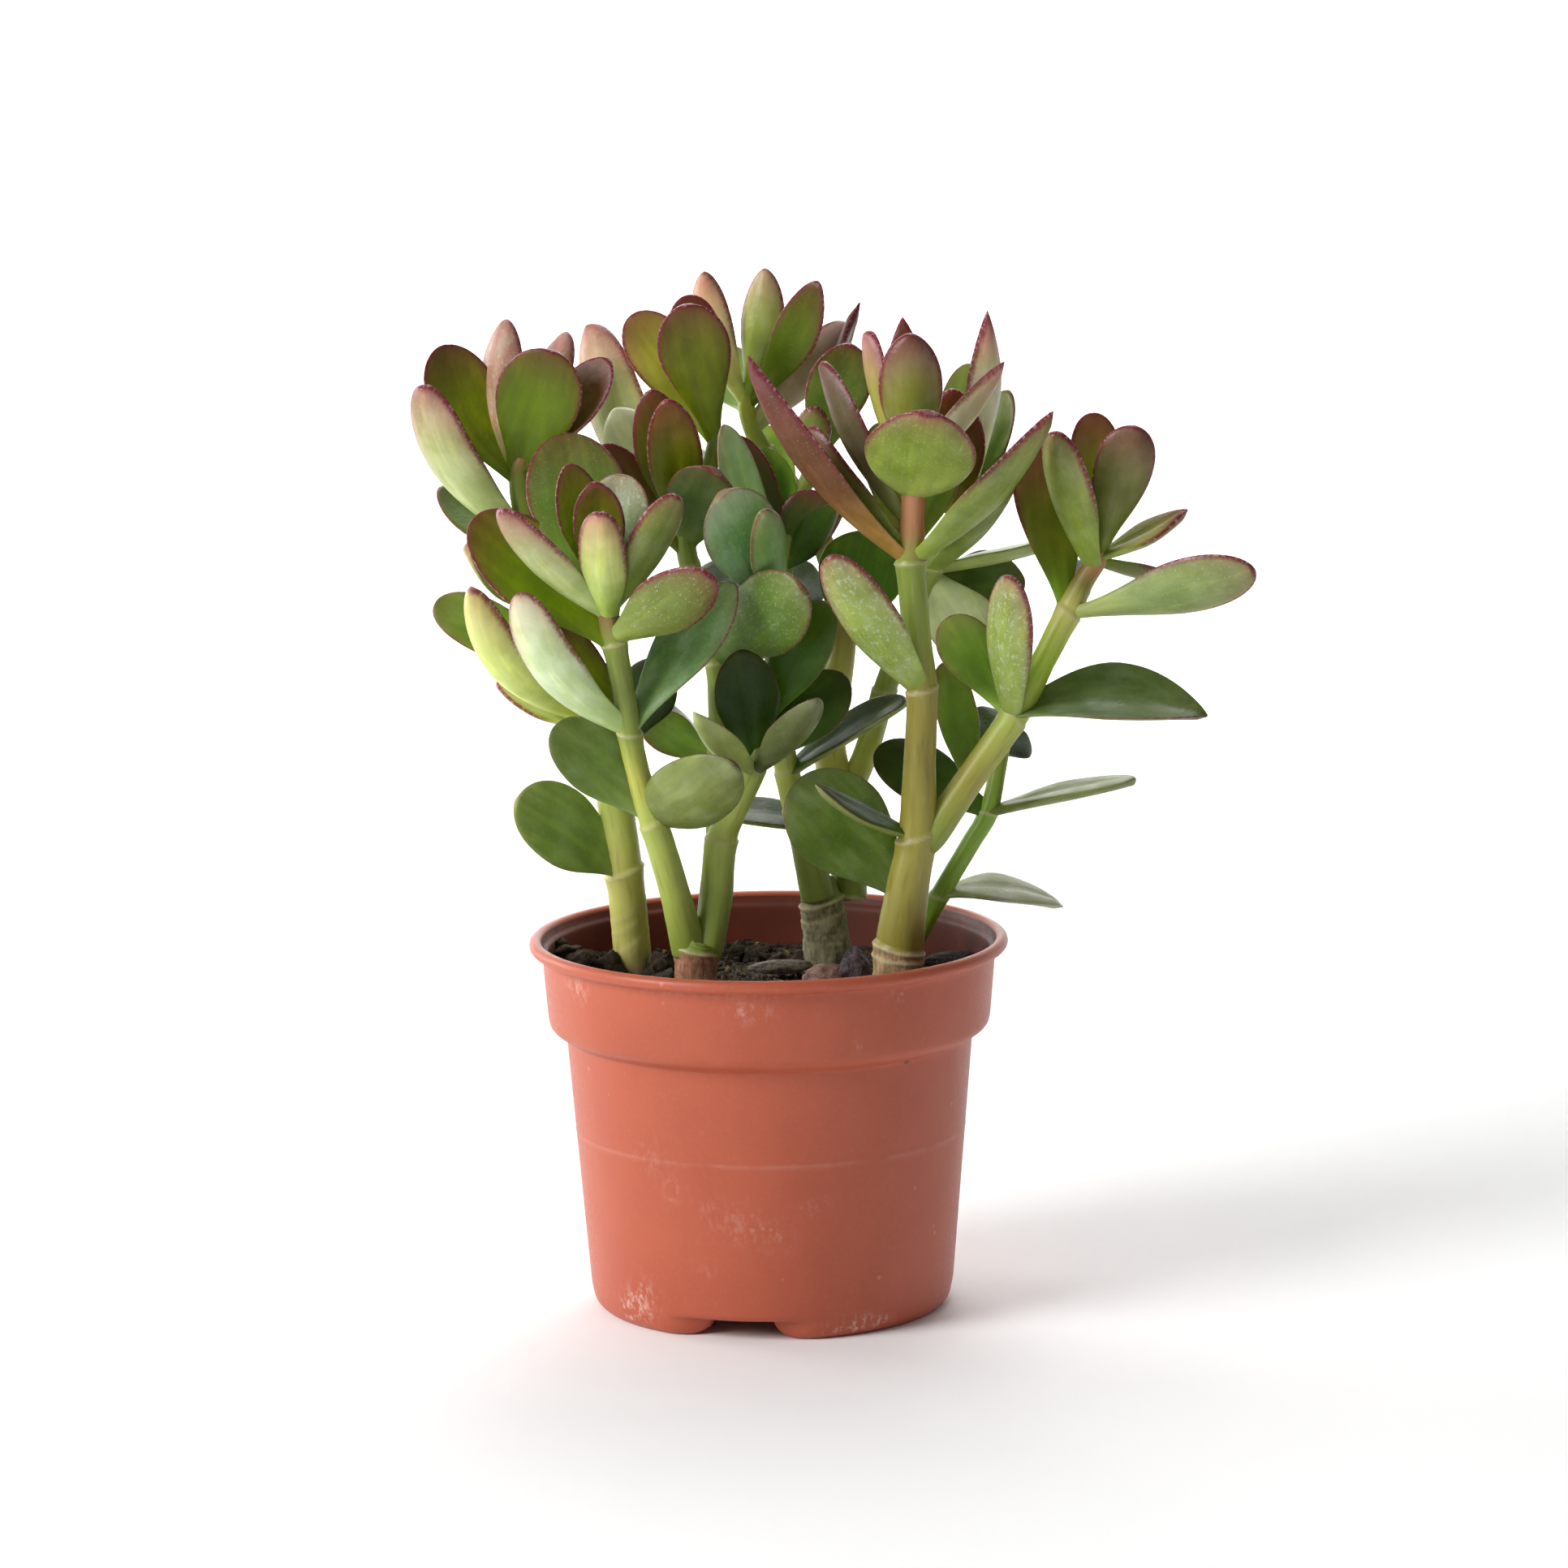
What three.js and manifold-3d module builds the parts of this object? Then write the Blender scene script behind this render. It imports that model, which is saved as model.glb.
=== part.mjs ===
// Potted jade plant: a terracotta-coloured plastic nursery pot filled with soil,
// and five leafy stems of thick, paddle-shaped leaves that stand in the soil.
// Millimetres, +Z up, the front of the plant towards -Y.
import * as THREE from 'three';
import { mergeVertices } from 'three/addons/utils/BufferGeometryUtils.js';
import Module from 'manifold-3d';

const wasm = await Module();
wasm.setup();

// ---- driving dimensions ----------------------------------------------------
const GAP = 0.3; // left between pieces that rest against each other

// pot: a 120 mm round nursery pot
const LIP_RADIUS = 60;
const LIP_HEIGHT = 92;
const BASE_RADIUS = 42.5;
const STEP_HEIGHT = 69.5; // where the wall steps out to the upper band
const WALL = 1.3;
const FLOOR_UNDERSIDE = 5.6;
const FLOOR_TOP = 7.0;
const POT_SIDES = 48;
const FOOT_NOTCH = { width: 18, height: 4.9, corner: 1.8, count: 3, firstAngle: 259 };
const DRAIN_HOLE = { radius: 4.5, ring: 25, count: 4 };

// soil
const SOIL_EDGE = 79;
const SOIL_CROWN = 80.6;
const SOIL_SIDES = 32;
const BURIED = 16; // length of stem below the soil's surface

// leaves
const HALF_THICKNESS = 1.65;
const LEAF_SIDES = 6;
const LEAF_RINGS = 6;
const FORMS = {
  // widest: share of the length at which the leaf is widest; neck: width at the
  // root as a share of the full width; swell, fall and tip shape the outline
  oval: { widest: 0.6, neck: 0.3, swell: 1, fall: 2.1, tip: 0.6 },
  oblong: { widest: 0.56, neck: 0.42, swell: 0.8, fall: 2.8, tip: 0.52 },
  paddle: { widest: 0.7, neck: 0.22, swell: 1, fall: 2.2, tip: 0.52 },
  round: { widest: 0.62, neck: 0.28, swell: 0.9, fall: 2.1, tip: 0.5 },
  lance: { widest: 0.5, neck: 0.34, swell: 0.9, fall: 1.7, tip: 0.88 },
  disc: { widest: 0.5, neck: 0.2, swell: 0.32, fall: 2, tip: 0.5 },
};

const STEM_SIDES = 6;

// ---- where things are seen ---------------------------------------------------
// Stems and leaves are placed as they look from one fixed eye point in front of
// the plant: across and down on a square view, and a depth in mm behind the
// pot's axis. The eye looks a little down and is slightly tilted.
const EYE = new THREE.Vector3(4.3, -1700, 430);
const AIM = new THREE.Vector3(4.3, 0, 132);
const TILT = THREE.MathUtils.degToRad(0.65);
const FOCAL = 8515;
const VIEW_CENTRE = 966;

const FORWARD = AIM.clone().sub(EYE).normalize();
const RIGHT = new THREE.Vector3(1, 0, 0);
const UP = new THREE.Vector3().crossVectors(RIGHT, FORWARD);

function seen(across, down, depth) {
  const u = across - VIEW_CENTRE;
  const v = down - VIEW_CENTRE;
  const x = Math.cos(TILT) * u - Math.sin(TILT) * v;
  const y = Math.sin(TILT) * u + Math.cos(TILT) * v;
  const ray = FORWARD.clone()
    .addScaledVector(RIGHT, x / FOCAL)
    .addScaledVector(UP, -y / FOCAL);
  return EYE.clone().addScaledVector(ray, (depth - EYE.y) / ray.y);
}

// ---- stems -------------------------------------------------------------------
// for each stem its main path, which stands in the soil, then its branches:
// [across, down, depth, radius]
const STEMS = {
  left_back: [
    [[780, 1192, 20, 5], [777, 1150, 18, 4.7], [769, 1073, 15, 4.8], [757, 985, 14, 4.5],
      [742, 895, 12, 4], [716, 815, 10, 3.2], [680, 735, 8, 2.9], [652, 665, 6, 2.7],
      [638, 592, 4, 2.3], [644, 562, 4, 1.4]],
  ],
  left_front: [
    [[858, 1225, -12, 5.3], [857, 1168, -12, 5.3], [860, 1142, -11, 3.4]],
    [[850, 1172, -12, 4.5], [830, 1095, -15, 3.7], [806, 1015, -18, 3.6], [787, 955, -21, 2.9],
      [776, 905, -23, 3], [768, 850, -25, 2.8], [757, 792, -27, 3], [748, 748, -28, 2.5],
      [745, 722, -28, 1.4]],
    [[872, 1165, -10, 4], [882, 1105, -8, 4.2], [889, 1035, -6, 4], [906, 1000, -8, 2.8],
      [929, 950, -9, 2.8], [937, 905, -6, 2.2], [944, 864, -3, 1.5]],
    [[886, 1045, -3, 3.4], [885, 960, 4, 3], [886, 870, 8, 2.8], [878, 790, 10, 2.7],
      [845, 670, 11, 2.6], [868, 600, 12, 2.3], [880, 550, 13, 2], [883, 528, 14, 1.3]],
  ],
  centre: [
    [[1022, 1205, 13, 6.2], [1018, 1150, 13, 5.8], [1012, 1106, 12, 5.2], [1010, 1080, 12, 3.5]],
    [[1008, 1105, 10, 4.4], [990, 1030, 8, 3.6], [970, 953, 6, 3.1], [962, 890, 6, 2.8],
      [955, 820, 6, 2.6], [955, 750, 6, 2.6], [966, 697, 9, 2.5], [980, 630, 15, 2.1],
      [1000, 578, 20, 2], [1010, 545, 22, 1.3]],
    [[1048, 1110, 16, 4.4], [1040, 1010, 20, 4.4], [1022, 920, 23, 4.2], [1030, 850, 25, 3.8],
      [1038, 780, 26, 3.4], [1022, 690, 28, 3], [975, 600, 30, 2.6], [935, 545, 30, 2.4],
      [920, 503, 30, 2.2], [924, 482, 30, 1.3]],
    [[1036, 995, 21, 3.4], [1066, 930, 22, 3.2], [1090, 850, 20, 3], [1118, 775, 16, 2.8],
      [1146, 708, 12, 2.8], [1170, 650, 12, 2.3], [1196, 600, 12, 2], [1204, 575, 12, 1.3]],
  ],
  right: [
    [[1107, 1226, -10, 6.3], [1108, 1168, -10, 6.2], [1119, 1090, -11, 5.3], [1130, 1030, -12, 4.8],
      [1133, 940, -13, 4], [1136, 852, -14, 3.8], [1129, 780, -15, 3.5], [1122, 692, -16, 3.6],
      [1124, 645, -17, 3.1], [1125, 608, -18, 2.9], [1123, 562, -18, 1.6]],
    [[1145, 1040, -12, 3.8], [1195, 960, -10, 3.7], [1247, 886, -8, 3.7], [1285, 815, -7, 3.1],
      [1315, 757, -6, 3.3], [1334, 718, -5, 2.7], [1352, 690, -5, 2.5], [1357, 674, -5, 1.4]],
  ],
  right_low: [
    [[1114, 1183, 14, 2.7], [1146, 1124, 9, 2.5], [1172, 1079, 6, 2.4], [1197, 1037, 7, 2.4],
      [1218, 1000, 8, 2.4], [1231, 940, 11, 2.1], [1238, 908, 12, 1.4]],
  ],
};

// ---- leaves ------------------------------------------------------------------
// [name, root across, down, depth, tip across, down, depth, width in mm,
//  degrees its upper face is turned from the eye, bow, cup]
const LEAVES = {
  left_back: [
    ['A2', 636, 592, 5, 551, 424, 14, 19, 28, -0.05, 0.1, 'paddle', -0.075],
    ['A3', 634, 586, 5, 625, 393, 20, 13, 150, -0.03, 0.1, 'oval', 0.07],
    ['A4', 640, 590, 2, 679, 431, 1, 22, -8, -0.02, 0.05, 'round', 0],
    ['A5', 648, 580, 4, 752, 443, 8, 15, -35, -0.03, 0.12, 'oval', 0],
    ['A6', 643, 572, 5, 699, 409, 25, 11, 150, -0.03, 0.1, 'oval', 0],
    ['A1', 652, 665, 5, 522, 474, -10, 16, 138, -0.06, 0.12, 'oblong', 0.085],
    ['L2', 655, 680, 6, 541, 600, 18, 16, 50, -0.06, 0.1, 'oval', 0],
    ['L1', 690, 755, 8, 574, 672, -4, 16, 50, -0.06, 0.1, 'oval', 0],
    ['L3', 712, 850, 13, 535, 744, 14, 16, 30, 0.03, 0.05, 'paddle', 0],
    ['L4', 738, 893, 9, 584, 724, -8, 16, 120, -0.12, 0.25, 'oblong', 0.13],
    ['L4b', 742, 895, 13, 612, 838, 18, 13, 55, -0.05, 0.1, 'oblong', 0],
    ['L8', 766, 1076, 12, 636, 985, 0, 21, 22, 0.04, 0.05, 'round', 0],
    ['H1', 740, 890, 15, 686, 786, 44, 16, 0, -0.05, 0.1, 'oval', 0],
    ['H2', 682, 735, 11, 722, 640, 42, 17, 0, -0.05, 0.1, 'paddle', 0],
    ['H3', 655, 662, 9, 735, 612, 36, 16, -20, -0.05, 0.1, 'oval', 0],
    ['H4', 641, 588, 7, 668, 500, 38, 17, 0, -0.05, 0.1, 'paddle', 0],
  ],
  left_front: [
    ['L7', 802, 1008, -18, 684, 893, -14, 18, 20, 0.02, 0.05, 'round', 0],
    ['L9', 803, 1011, -20, 907, 942, -40, 20, -160, -0.05, 0.05, 'disc', 0],
    ['L5', 772, 905, -25, 642, 729, -36, 14, 148, -0.08, 0.12, 'oblong', 0.085],
    ['L6', 770, 897, -20, 690, 768, -18, 11, 25, -0.08, 0.12, 'oval', 0],
    ['B11', 782, 897, -23, 905, 718, -12, 18, -35, 0.02, 0.08, 'oval', 0],
    ['B10', 758, 790, -29, 876, 706, -52, 17, -155, -0.05, 0.05, 'round', 0],
    ['B1', 755, 790, -27, 583, 638, -20, 22, 22, 0, 0.06, 'round', 0],
    ['B2', 750, 762, -30, 618, 626, -42, 13, 128, -0.03, 0.12, 'oblong', 0.048],
    ['B3', 742, 735, -27, 700, 571, -24, 14, 30, -0.04, 0.12, 'oval', 0],
    ['B4', 746, 735, -28, 733, 593, -31, 13, 5, -0.04, 0.12, 'oval', 0],
    ['B5', 755, 766, -31, 738, 630, -42, 12, 168, -0.06, 0.15, 'oblong', 0],
    ['B6', 762, 752, -29, 834, 609, -38, 12, -145, -0.03, 0.1, 'oblong', 0],
    ['B7', 752, 735, -26, 766, 584, -17, 17, -15, -0.03, 0.05, 'round', 0],
    ['B8', 744, 740, -25, 692, 535, -3, 25, 8, 0, 0.05, 'round', 0],
    ['M1', 926, 948, -11, 854, 876, -28, 10, 130, -0.05, 0.15, 'lance', 0],
    ['M2', 930, 948, -11, 1007, 860, -30, 12, -135, -0.05, 0.15, 'oval', 0],
    ['M3', 927, 940, -11, 912, 800, -10, 15, 8, 0, 0.08, 'oval', 0],
    ['M4', 935, 942, -8, 1042, 832, 2, 17, -20, 0, 0.06, 'oval', 0],
    ['M5', 940, 888, -5, 1020, 742, -7, 15, -15, 0, 0.06, 'round', 0],
    ['M6', 884, 814, 4, 990, 722, -22, 19, 172, -0.02, 0.05, 'round', 0],
    ['P1', 884, 938, 6, 793, 885, 12, 14, 40, -0.05, 0.1, 'paddle', 0],
    ['P2', 884, 925, 7, 818, 862, 40, 12, 75, -0.05, 0.1, 'paddle', 0],
    ['A7', 838, 655, 13, 727, 400, 44, 17, 152, -0.05, 0.1, 'oblong', 0.03],
    ['N1', 840, 672, 12, 757, 503, 20, 17, 172, -0.03, 0.08, 'oval', 0],
    ['N2', 838, 690, 9, 742, 548, 2, 12, 20, -0.03, 0.08, 'oval', 0],
    ['D1', 842, 672, 9, 801, 480, 3, 15, 0, -0.02, 0.08, 'oval', 0],
    ['D2', 846, 672, 7, 823, 492, -5, 14, 2, -0.02, 0.08, 'oval', 0],
    ['D7', 838, 676, 7, 880, 580, -9, 19, -5, -0.02, 0.08, 'round', 0],
    ['C2', 880, 545, 12, 843, 375, 6, 18, 2, 0, 0.05, 'paddle', 0],
    ['C3', 876, 545, 13, 780, 386, 22, 16, 18, 0, 0.08, 'paddle', 0],
    ['C4', 881, 545, 14, 847, 363, 16, 14, 0, 0, 0.08, 'paddle', 0],
    ['H5', 780, 905, -20, 812, 812, 6, 15, 0, -0.05, 0.1, 'oval', 0],
    ['H6', 882, 812, 11, 820, 762, 38, 16, 0, -0.05, 0.1, 'paddle', 0],
    ['H7', 873, 768, 13, 905, 690, 42, 17, 0, -0.05, 0.1, 'oval', 0],
    ['H8', 868, 602, 15, 834, 580, 46, 16, 0, -0.05, 0.1, 'paddle', 0],
  ],
  centre: [
    ['C1', 974, 952, 4, 1118, 862, 4, 14, -64, 0.04, 0.12, 'oblong', 0],
    ['D8', 948, 745, 3, 890, 608, -18, 20, 10, -0.03, 0.05, 'round', 0],
    ['D9', 953, 745, 1, 939, 628, -22, 12, -145, -0.03, 0.1, 'oval', 0],
    ['D3', 950, 724, 6, 891, 523, 4, 12, 30, -0.03, 0.12, 'oval', 0],
    ['D4', 957, 712, 9, 906, 536, 16, 13, 8, -0.02, 0.08, 'oval', 0],
    ['D5', 960, 702, 9, 941, 551, 22, 14, -12, -0.02, 0.08, 'oval', 0],
    ['K3', 968, 697, 8, 1010, 606, 12, 14, -10, -0.02, 0.08, 'round', 0],
    ['K4', 970, 697, 6, 1040, 620, -1, 13, -48, -0.02, 0.12, 'lance', 0],
    ['K5', 1036, 790, 23, 1075, 655, 14, 22, 0, -0.02, 0.06, 'round', 0],
    ['J1', 1005, 570, 21, 1050, 424, 15, 16, 10, -0.02, 0.08, 'round', 0],
    ['J2', 1010, 560, 23, 1060, 373, 30, 10, 76, -0.03, 0.1, 'lance', 0],
    ['J3', 1004, 572, 18, 1003, 500, 12, 9, 170, -0.04, 0.1, 'oval', 0],
    ['Q1', 1038, 1018, 21, 866, 998, 20, 13, 60, 0.03, 0.1, 'oblong', 0],
    ['C1r', 910, 502, 30, 868, 334, 29, 11, 155, -0.03, 0.12, 'oval', 0.06],
    ['C5', 930, 497, 31, 942, 330, 32, 11, 168, -0.03, 0.12, 'oval', -0.04],
    ['C6', 928, 500, 28, 1008, 346, 18, 12, -20, -0.02, 0.1, 'oval', 0.05],
    ['C7', 932, 525, 30, 1044, 398, 32, 11, -165, -0.02, 0.08, 'oblong', 0],
    ['D6', 984, 632, 15, 930, 522, 40, 11, 0, -0.02, 0.08, 'oval', 0],
    ['G1', 1203, 590, 12, 1217, 382, -2, 10, -150, -0.04, 0.15, 'lance', 0],
    ['G2', 1180, 640, 12, 1243, 480, 18, 13, -35, -0.03, 0.1, 'oval', 0],
    ['E13', 1176, 645, 15, 1196, 448, 38, 14, -10, -0.02, 0.08, 'round', 0],
    ['G3', 1172, 645, 10, 1174, 479, 8, 12, 5, -0.02, 0.08, 'round', 0],
    ['G3b', 1176, 640, 9, 1190, 500, -3, 12, -8, -0.02, 0.08, 'oval', 0],
    ['E4', 1150, 708, 9, 1245, 592, -11, 14, -112, -0.04, 0.12, 'oblong', 0],
    ['G4', 1152, 704, 13, 1300, 668, 16, 14, -88, 0, 0.12, 'oblong', 0],
    ['G5', 1150, 712, 14, 1262, 717, 26, 16, -22, 0.02, 0.05, 'round', 0],
    ['G6', 1148, 712, 9, 1206, 800, 8, 17, -178, 0.03, 0.05, 'round', 0],
    ['H9', 955, 750, 9, 1000, 696, 38, 16, 0, -0.05, 0.1, 'oval', 0],
    ['H10', 962, 890, 8, 984, 800, 36, 14, 0, -0.05, 0.1, 'oval', 0],
    ['H11', 1026, 850, 28, 975, 790, 54, 16, 0, -0.05, 0.1, 'oval', 0],
    ['H13', 916, 505, 32, 876, 432, 60, 15, 0, -0.05, 0.1, 'paddle', 0],
    ['H15', 1182, 622, 14, 1185, 540, 44, 15, 0, -0.05, 0.1, 'paddle', 0],
  ],
  right: [
    ['Cc3', 1106, 1029, -14, 1004, 967, -22, 10, 68, -0.04, 0.12, 'lance', 0],
    ['C2r', 1112, 1093, -9, 981, 962, -4, 25, 8, 0, 0.04, 'round', 0],
    ['E1', 1130, 852, -16, 1022, 684, -38, 15, 152, -0.05, 0.1, 'oblong', 0],
    ['E2', 1116, 692, -18, 922, 438, -32, 16, 116, -0.06, 0.12, 'lance', 0.03],
    ['E3', 1130, 692, -18, 1298, 507, -28, 16, -120, -0.06, 0.12, 'lance', 0],
    ['E5', 1126, 612, -20, 1143, 507, -50, 27, -178, -0.04, 0.04, 'disc', 0],
    ['E6', 1124, 582, -18, 1121, 410, -26, 16, 180, -0.05, 0.12, 'oval', 0],
    ['E7', 1122, 588, -17, 1070, 407, -14, 12, 115, -0.05, 0.12, 'oblong', 0],
    ['E9', 1128, 580, -17, 1238, 445, -18, 11, -118, -0.03, 0.12, 'lance', 0],
    ['E8', 1118, 645, -14, 1013, 445, -4, 14, 118, -0.05, 0.1, 'oval', 0],
    ['E10', 1116, 680, -13, 996, 526, -8, 13, 118, -0.05, 0.1, 'oblong', 0],
    ['E12', 1123, 582, -18, 1112, 390, -6, 12, 5, -0.03, 0.1, 'lance', 0],
    ['E14', 1118, 676, -13, 1084, 520, -6, 14, 20, -0.03, 0.08, 'round', 0],
    ['E15', 1128, 676, -13, 1172, 545, -5, 12, -20, -0.03, 0.08, 'round', 0],
    ['F8', 1244, 890, -10, 1246, 709, -28, 14, 142, -0.05, 0.12, 'oblong', 0],
    ['F9', 1258, 886, -9, 1488, 883, -16, 22, -50, 0.1, 0.22, 'lance', 0],
    ['G7', 1238, 886, -6, 1168, 760, 2, 15, 20, -0.02, 0.06, 'paddle', 0],
    ['G8', 1190, 962, -8, 1166, 815, 6, 11, 20, -0.02, 0.1, 'oblong', 0],
    ['F5', 1310, 757, -5, 1282, 546, 6, 18, 14, -0.02, 0.06, 'paddle', 0],
    ['F6', 1320, 757, -7, 1547, 702, -26, 16, -148, -0.02, 0.08, 'paddle', 0],
    ['F4', 1348, 700, -6, 1301, 531, -22, 14, 140, -0.04, 0.12, 'oblong', 0],
    ['F7', 1356, 690, -3, 1442, 712, 8, 10, -100, 0, 0.1, 'oblong', 0],
    ['F1', 1354, 684, -4, 1347, 508, 6, 13, 10, -0.02, 0.1, 'paddle', 0],
    ['F2', 1358, 686, -6, 1399, 524, -14, 15, -172, -0.03, 0.08, 'paddle', 0],
    ['F3', 1360, 686, -5, 1464, 628, -8, 11, -62, -0.03, 0.12, 'lance', 0],
    ['H19', 1317, 757, -3, 1330, 690, 30, 15, 0, -0.05, 0.1, 'oval', 0],
  ],
  right_low: [
    ['R2', 1160, 1100, 6, 1310, 1118, 14, 14, -60, 0.1, 0.08, 'lance', 0],
    ['R1', 1222, 1000, 8, 1400, 960, 2, 12, -74, 0.02, 0.1, 'oblong', 0],
    ['G11', 1214, 1000, 8, 1078, 925, 12, 17, 28, 0.02, 0.05, 'round', 0],
    ['G10', 1234, 925, 11, 1262, 905, 40, 17, 0, 0, 0.05, 'round', 0],
    ['G9', 1232, 935, 11, 1206, 872, 24, 12, 15, 0, 0.05, 'round', 0],
  ],
};

// ---- solids ------------------------------------------------------------------
function solid(geometry) {
  const bare = geometry.clone();
  bare.deleteAttribute('normal');
  bare.deleteAttribute('uv');
  const merged = mergeVertices(bare, 1e-4);
  const body = new wasm.Manifold(new wasm.Mesh({
    numProp: 3,
    vertProperties: new Float32Array(merged.attributes.position.array),
    triVerts: new Uint32Array(merged.index.array),
  }));
  if (body.volume() > 0) return body;
  throw new Error('a piece is empty or inside out');
}

function geometryOf(body) {
  const mesh = body.getMesh();
  const geometry = new THREE.BufferGeometry();
  geometry.setAttribute('position', new THREE.BufferAttribute(mesh.vertProperties, 3));
  geometry.setIndex(new THREE.BufferAttribute(mesh.triVerts, 1));
  geometry.computeVertexNormals();
  return geometry;
}

function piece(name, geometry, colour, roughness) {
  const material = new THREE.MeshStandardMaterial({ color: colour, roughness, metalness: 0 });
  const mesh = new THREE.Mesh(geometry, material);
  mesh.name = name;
  return mesh;
}

// ---- leaf --------------------------------------------------------------------
const smooth = (t) => t * t * (3 - 2 * t);

// half the width at a share u of the length: a neck that swells to the widest
// place and then closes, bluntly or to a point, by the leaf's form
function halfWidth(u, form, width) {
  const { widest, neck, swell, fall, tip } = FORMS[form];
  const rise = smooth(Math.min(u / widest, 1)) ** swell;
  const t = THREE.MathUtils.clamp((u - widest) / (1 - widest), 0, 1);
  return (width / 2) * (neck + (1 - neck) * rise) * Math.max(0, 1 - t ** fall) ** tip;
}

// the point nearest to a place on the middle line of any of a stem's branches
function onStem(name, place) {
  let nearest = place;
  let least = Infinity;
  for (const path of STEMS[name]) {
    for (const point of pathCurve(path).getPoints(8 * (path.length - 1))) {
      const distance = point.distanceTo(place);
      if (distance < least) {
        least = distance;
        nearest = point;
      }
    }
  }
  return nearest;
}

// a ball reshaped into a fleshy leaf from its root, sunk to the middle of the
// stem, to its tip
function leaf(name, row) {
  const [, rootX, rootY, rootDepth, tipX, tipY, tipDepth, width, facing, bow, cup, form, bend] = row;
  const root = onStem(name, seen(rootX, rootY, rootDepth));
  const tip = seen(tipX, tipY, tipDepth);
  const length = tip.distanceTo(root);
  const along = tip.clone().sub(root).divideScalar(length);
  const toEye = EYE.clone().sub(root.clone().add(tip).divideScalar(2));
  toEye.addScaledVector(along, -toEye.dot(along)).normalize();
  const turn = THREE.MathUtils.degToRad(facing);
  const face = toEye.clone().multiplyScalar(Math.cos(turn))
    .addScaledVector(new THREE.Vector3().crossVectors(along, toEye), Math.sin(turn));
  const side = new THREE.Vector3().crossVectors(along, face);

  const geometry = new THREE.SphereGeometry(1, LEAF_SIDES, LEAF_RINGS);
  const position = geometry.attributes.position;
  const v = new THREE.Vector3();
  for (let i = 0; i < position.count; i += 1) {
    v.fromBufferAttribute(position, i);
    const u = (1 - v.y) / 2;
    const ring = Math.hypot(v.x, v.z);
    const across = ring > 1e-6 ? v.x / ring : 0;
    const through = ring > 1e-6 ? -v.z / ring : 0;
    const half = ring > 1e-6 ? halfWidth(u, form, width) : 0;
    const thick = HALF_THICKNESS * (0.75 + 0.25 * Math.sin(Math.PI * u)) * Math.min(1, half / 2);
    const slope = along.clone().addScaledVector(face, bow * 4 * (1 - 2 * u))
      .addScaledVector(side, bend * 4 * (1 - 2 * u)).normalize();
    const edgeways = side.clone().addScaledVector(slope, -side.dot(slope)).normalize();
    const out = new THREE.Vector3().crossVectors(edgeways, slope);
    v.copy(root)
      .addScaledVector(along, length * u)
      .addScaledVector(face, bow * length * 4 * u * (1 - u))
      .addScaledVector(side, bend * length * 4 * u * (1 - u))
      .addScaledVector(edgeways, half * across)
      .addScaledVector(out, cup * half * 2 * (across * across - 0.3) + thick * through);
    position.setXYZ(i, v.x, v.y, v.z);
  }
  return solid(geometry);
}

// ---- stem --------------------------------------------------------------------
function pathCurve(path) {
  const points = path.map(([x, y, depth]) => seen(x, y, depth));
  return new THREE.CatmullRomCurve3(points, false, 'catmullrom', 0.5);
}

// a closed cylinder swept along its path, its radius following the table
function stem(path, rooted, grow) {
  const points = path.map(([x, y, depth]) => seen(x, y, depth));
  const radii = path.map((row) => row[3] + grow);
  if (rooted) {
    const down = points[0].clone().sub(points[1]).normalize();
    points.unshift(points[0].clone().addScaledVector(down, BURIED + grow));
    radii.unshift(radii[0]);
  }
  const curve = new THREE.CatmullRomCurve3(points, false, 'catmullrom', 0.5);
  const steps = 2 * (points.length - 1);
  const geometry = new THREE.CylinderGeometry(1, 1, 1, STEM_SIDES, steps);
  const position = geometry.attributes.position;
  const v = new THREE.Vector3();
  for (let i = 0; i < position.count; i += 1) {
    v.fromBufferAttribute(position, i);
    const t = THREE.MathUtils.clamp(v.y + 0.5, 0, 1);
    const k = Math.min(Math.floor(t * (radii.length - 1)), radii.length - 2);
    const part = t * (radii.length - 1) - k;
    const radius = radii[k] * (1 - part) + radii[k + 1] * part;
    const tangent = curve.getTangent(t);
    const first = new THREE.Vector3(0, -1, 0).addScaledVector(tangent, tangent.y).normalize();
    const second = new THREE.Vector3().crossVectors(tangent, first);
    const centre = curve.getPoint(t);
    centre.addScaledVector(second, v.x * radius).addScaledVector(first, v.z * radius);
    position.setXYZ(i, centre.x, centre.y, centre.z);
  }
  return solid(geometry);
}

function leafyStem(name) {
  let body = stem(STEMS[name][0], true, 0);
  for (const branch of STEMS[name].slice(1)) body = body.add(stem(branch, false, 0));
  for (const row of LEAVES[name]) body = body.add(leaf(name, row));
  return body;
}

// ---- pot ---------------------------------------------------------------------
// outline of the wall, from the middle of the floor out, up, over the lip and
// back down inside
function potOutline() {
  const outer = [
    [BASE_RADIUS, 0], [43.9, 0.7], [45.0, 2.5], [45.6, 5.0],
    [51.0, STEP_HEIGHT], [54.1, 71.3], [55.3, 73.0], [55.7, 76.0],
    [56.8, 89.9], [58.8, 90.5], [LIP_RADIUS, LIP_HEIGHT],
    [59.3, 93.5], [57.9, 93.8],
  ];
  const inner = [
    [56.7, 92.9], [55.5, 90.0], [54.4, 76.3], [53.7, 74.2], [52.2, 72.4],
    [51.0 - WALL, STEP_HEIGHT + 1], [44.6, FLOOR_TOP + 1.6], [43.4, FLOOR_TOP],
    [0, FLOOR_TOP],
  ];
  const under = [
    [0, FLOOR_UNDERSIDE], [BASE_RADIUS - WALL, FLOOR_UNDERSIDE], [BASE_RADIUS - WALL, 0],
  ];
  return [...under, ...outer, ...inner].map(([r, z]) => new THREE.Vector2(r, z));
}

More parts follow.
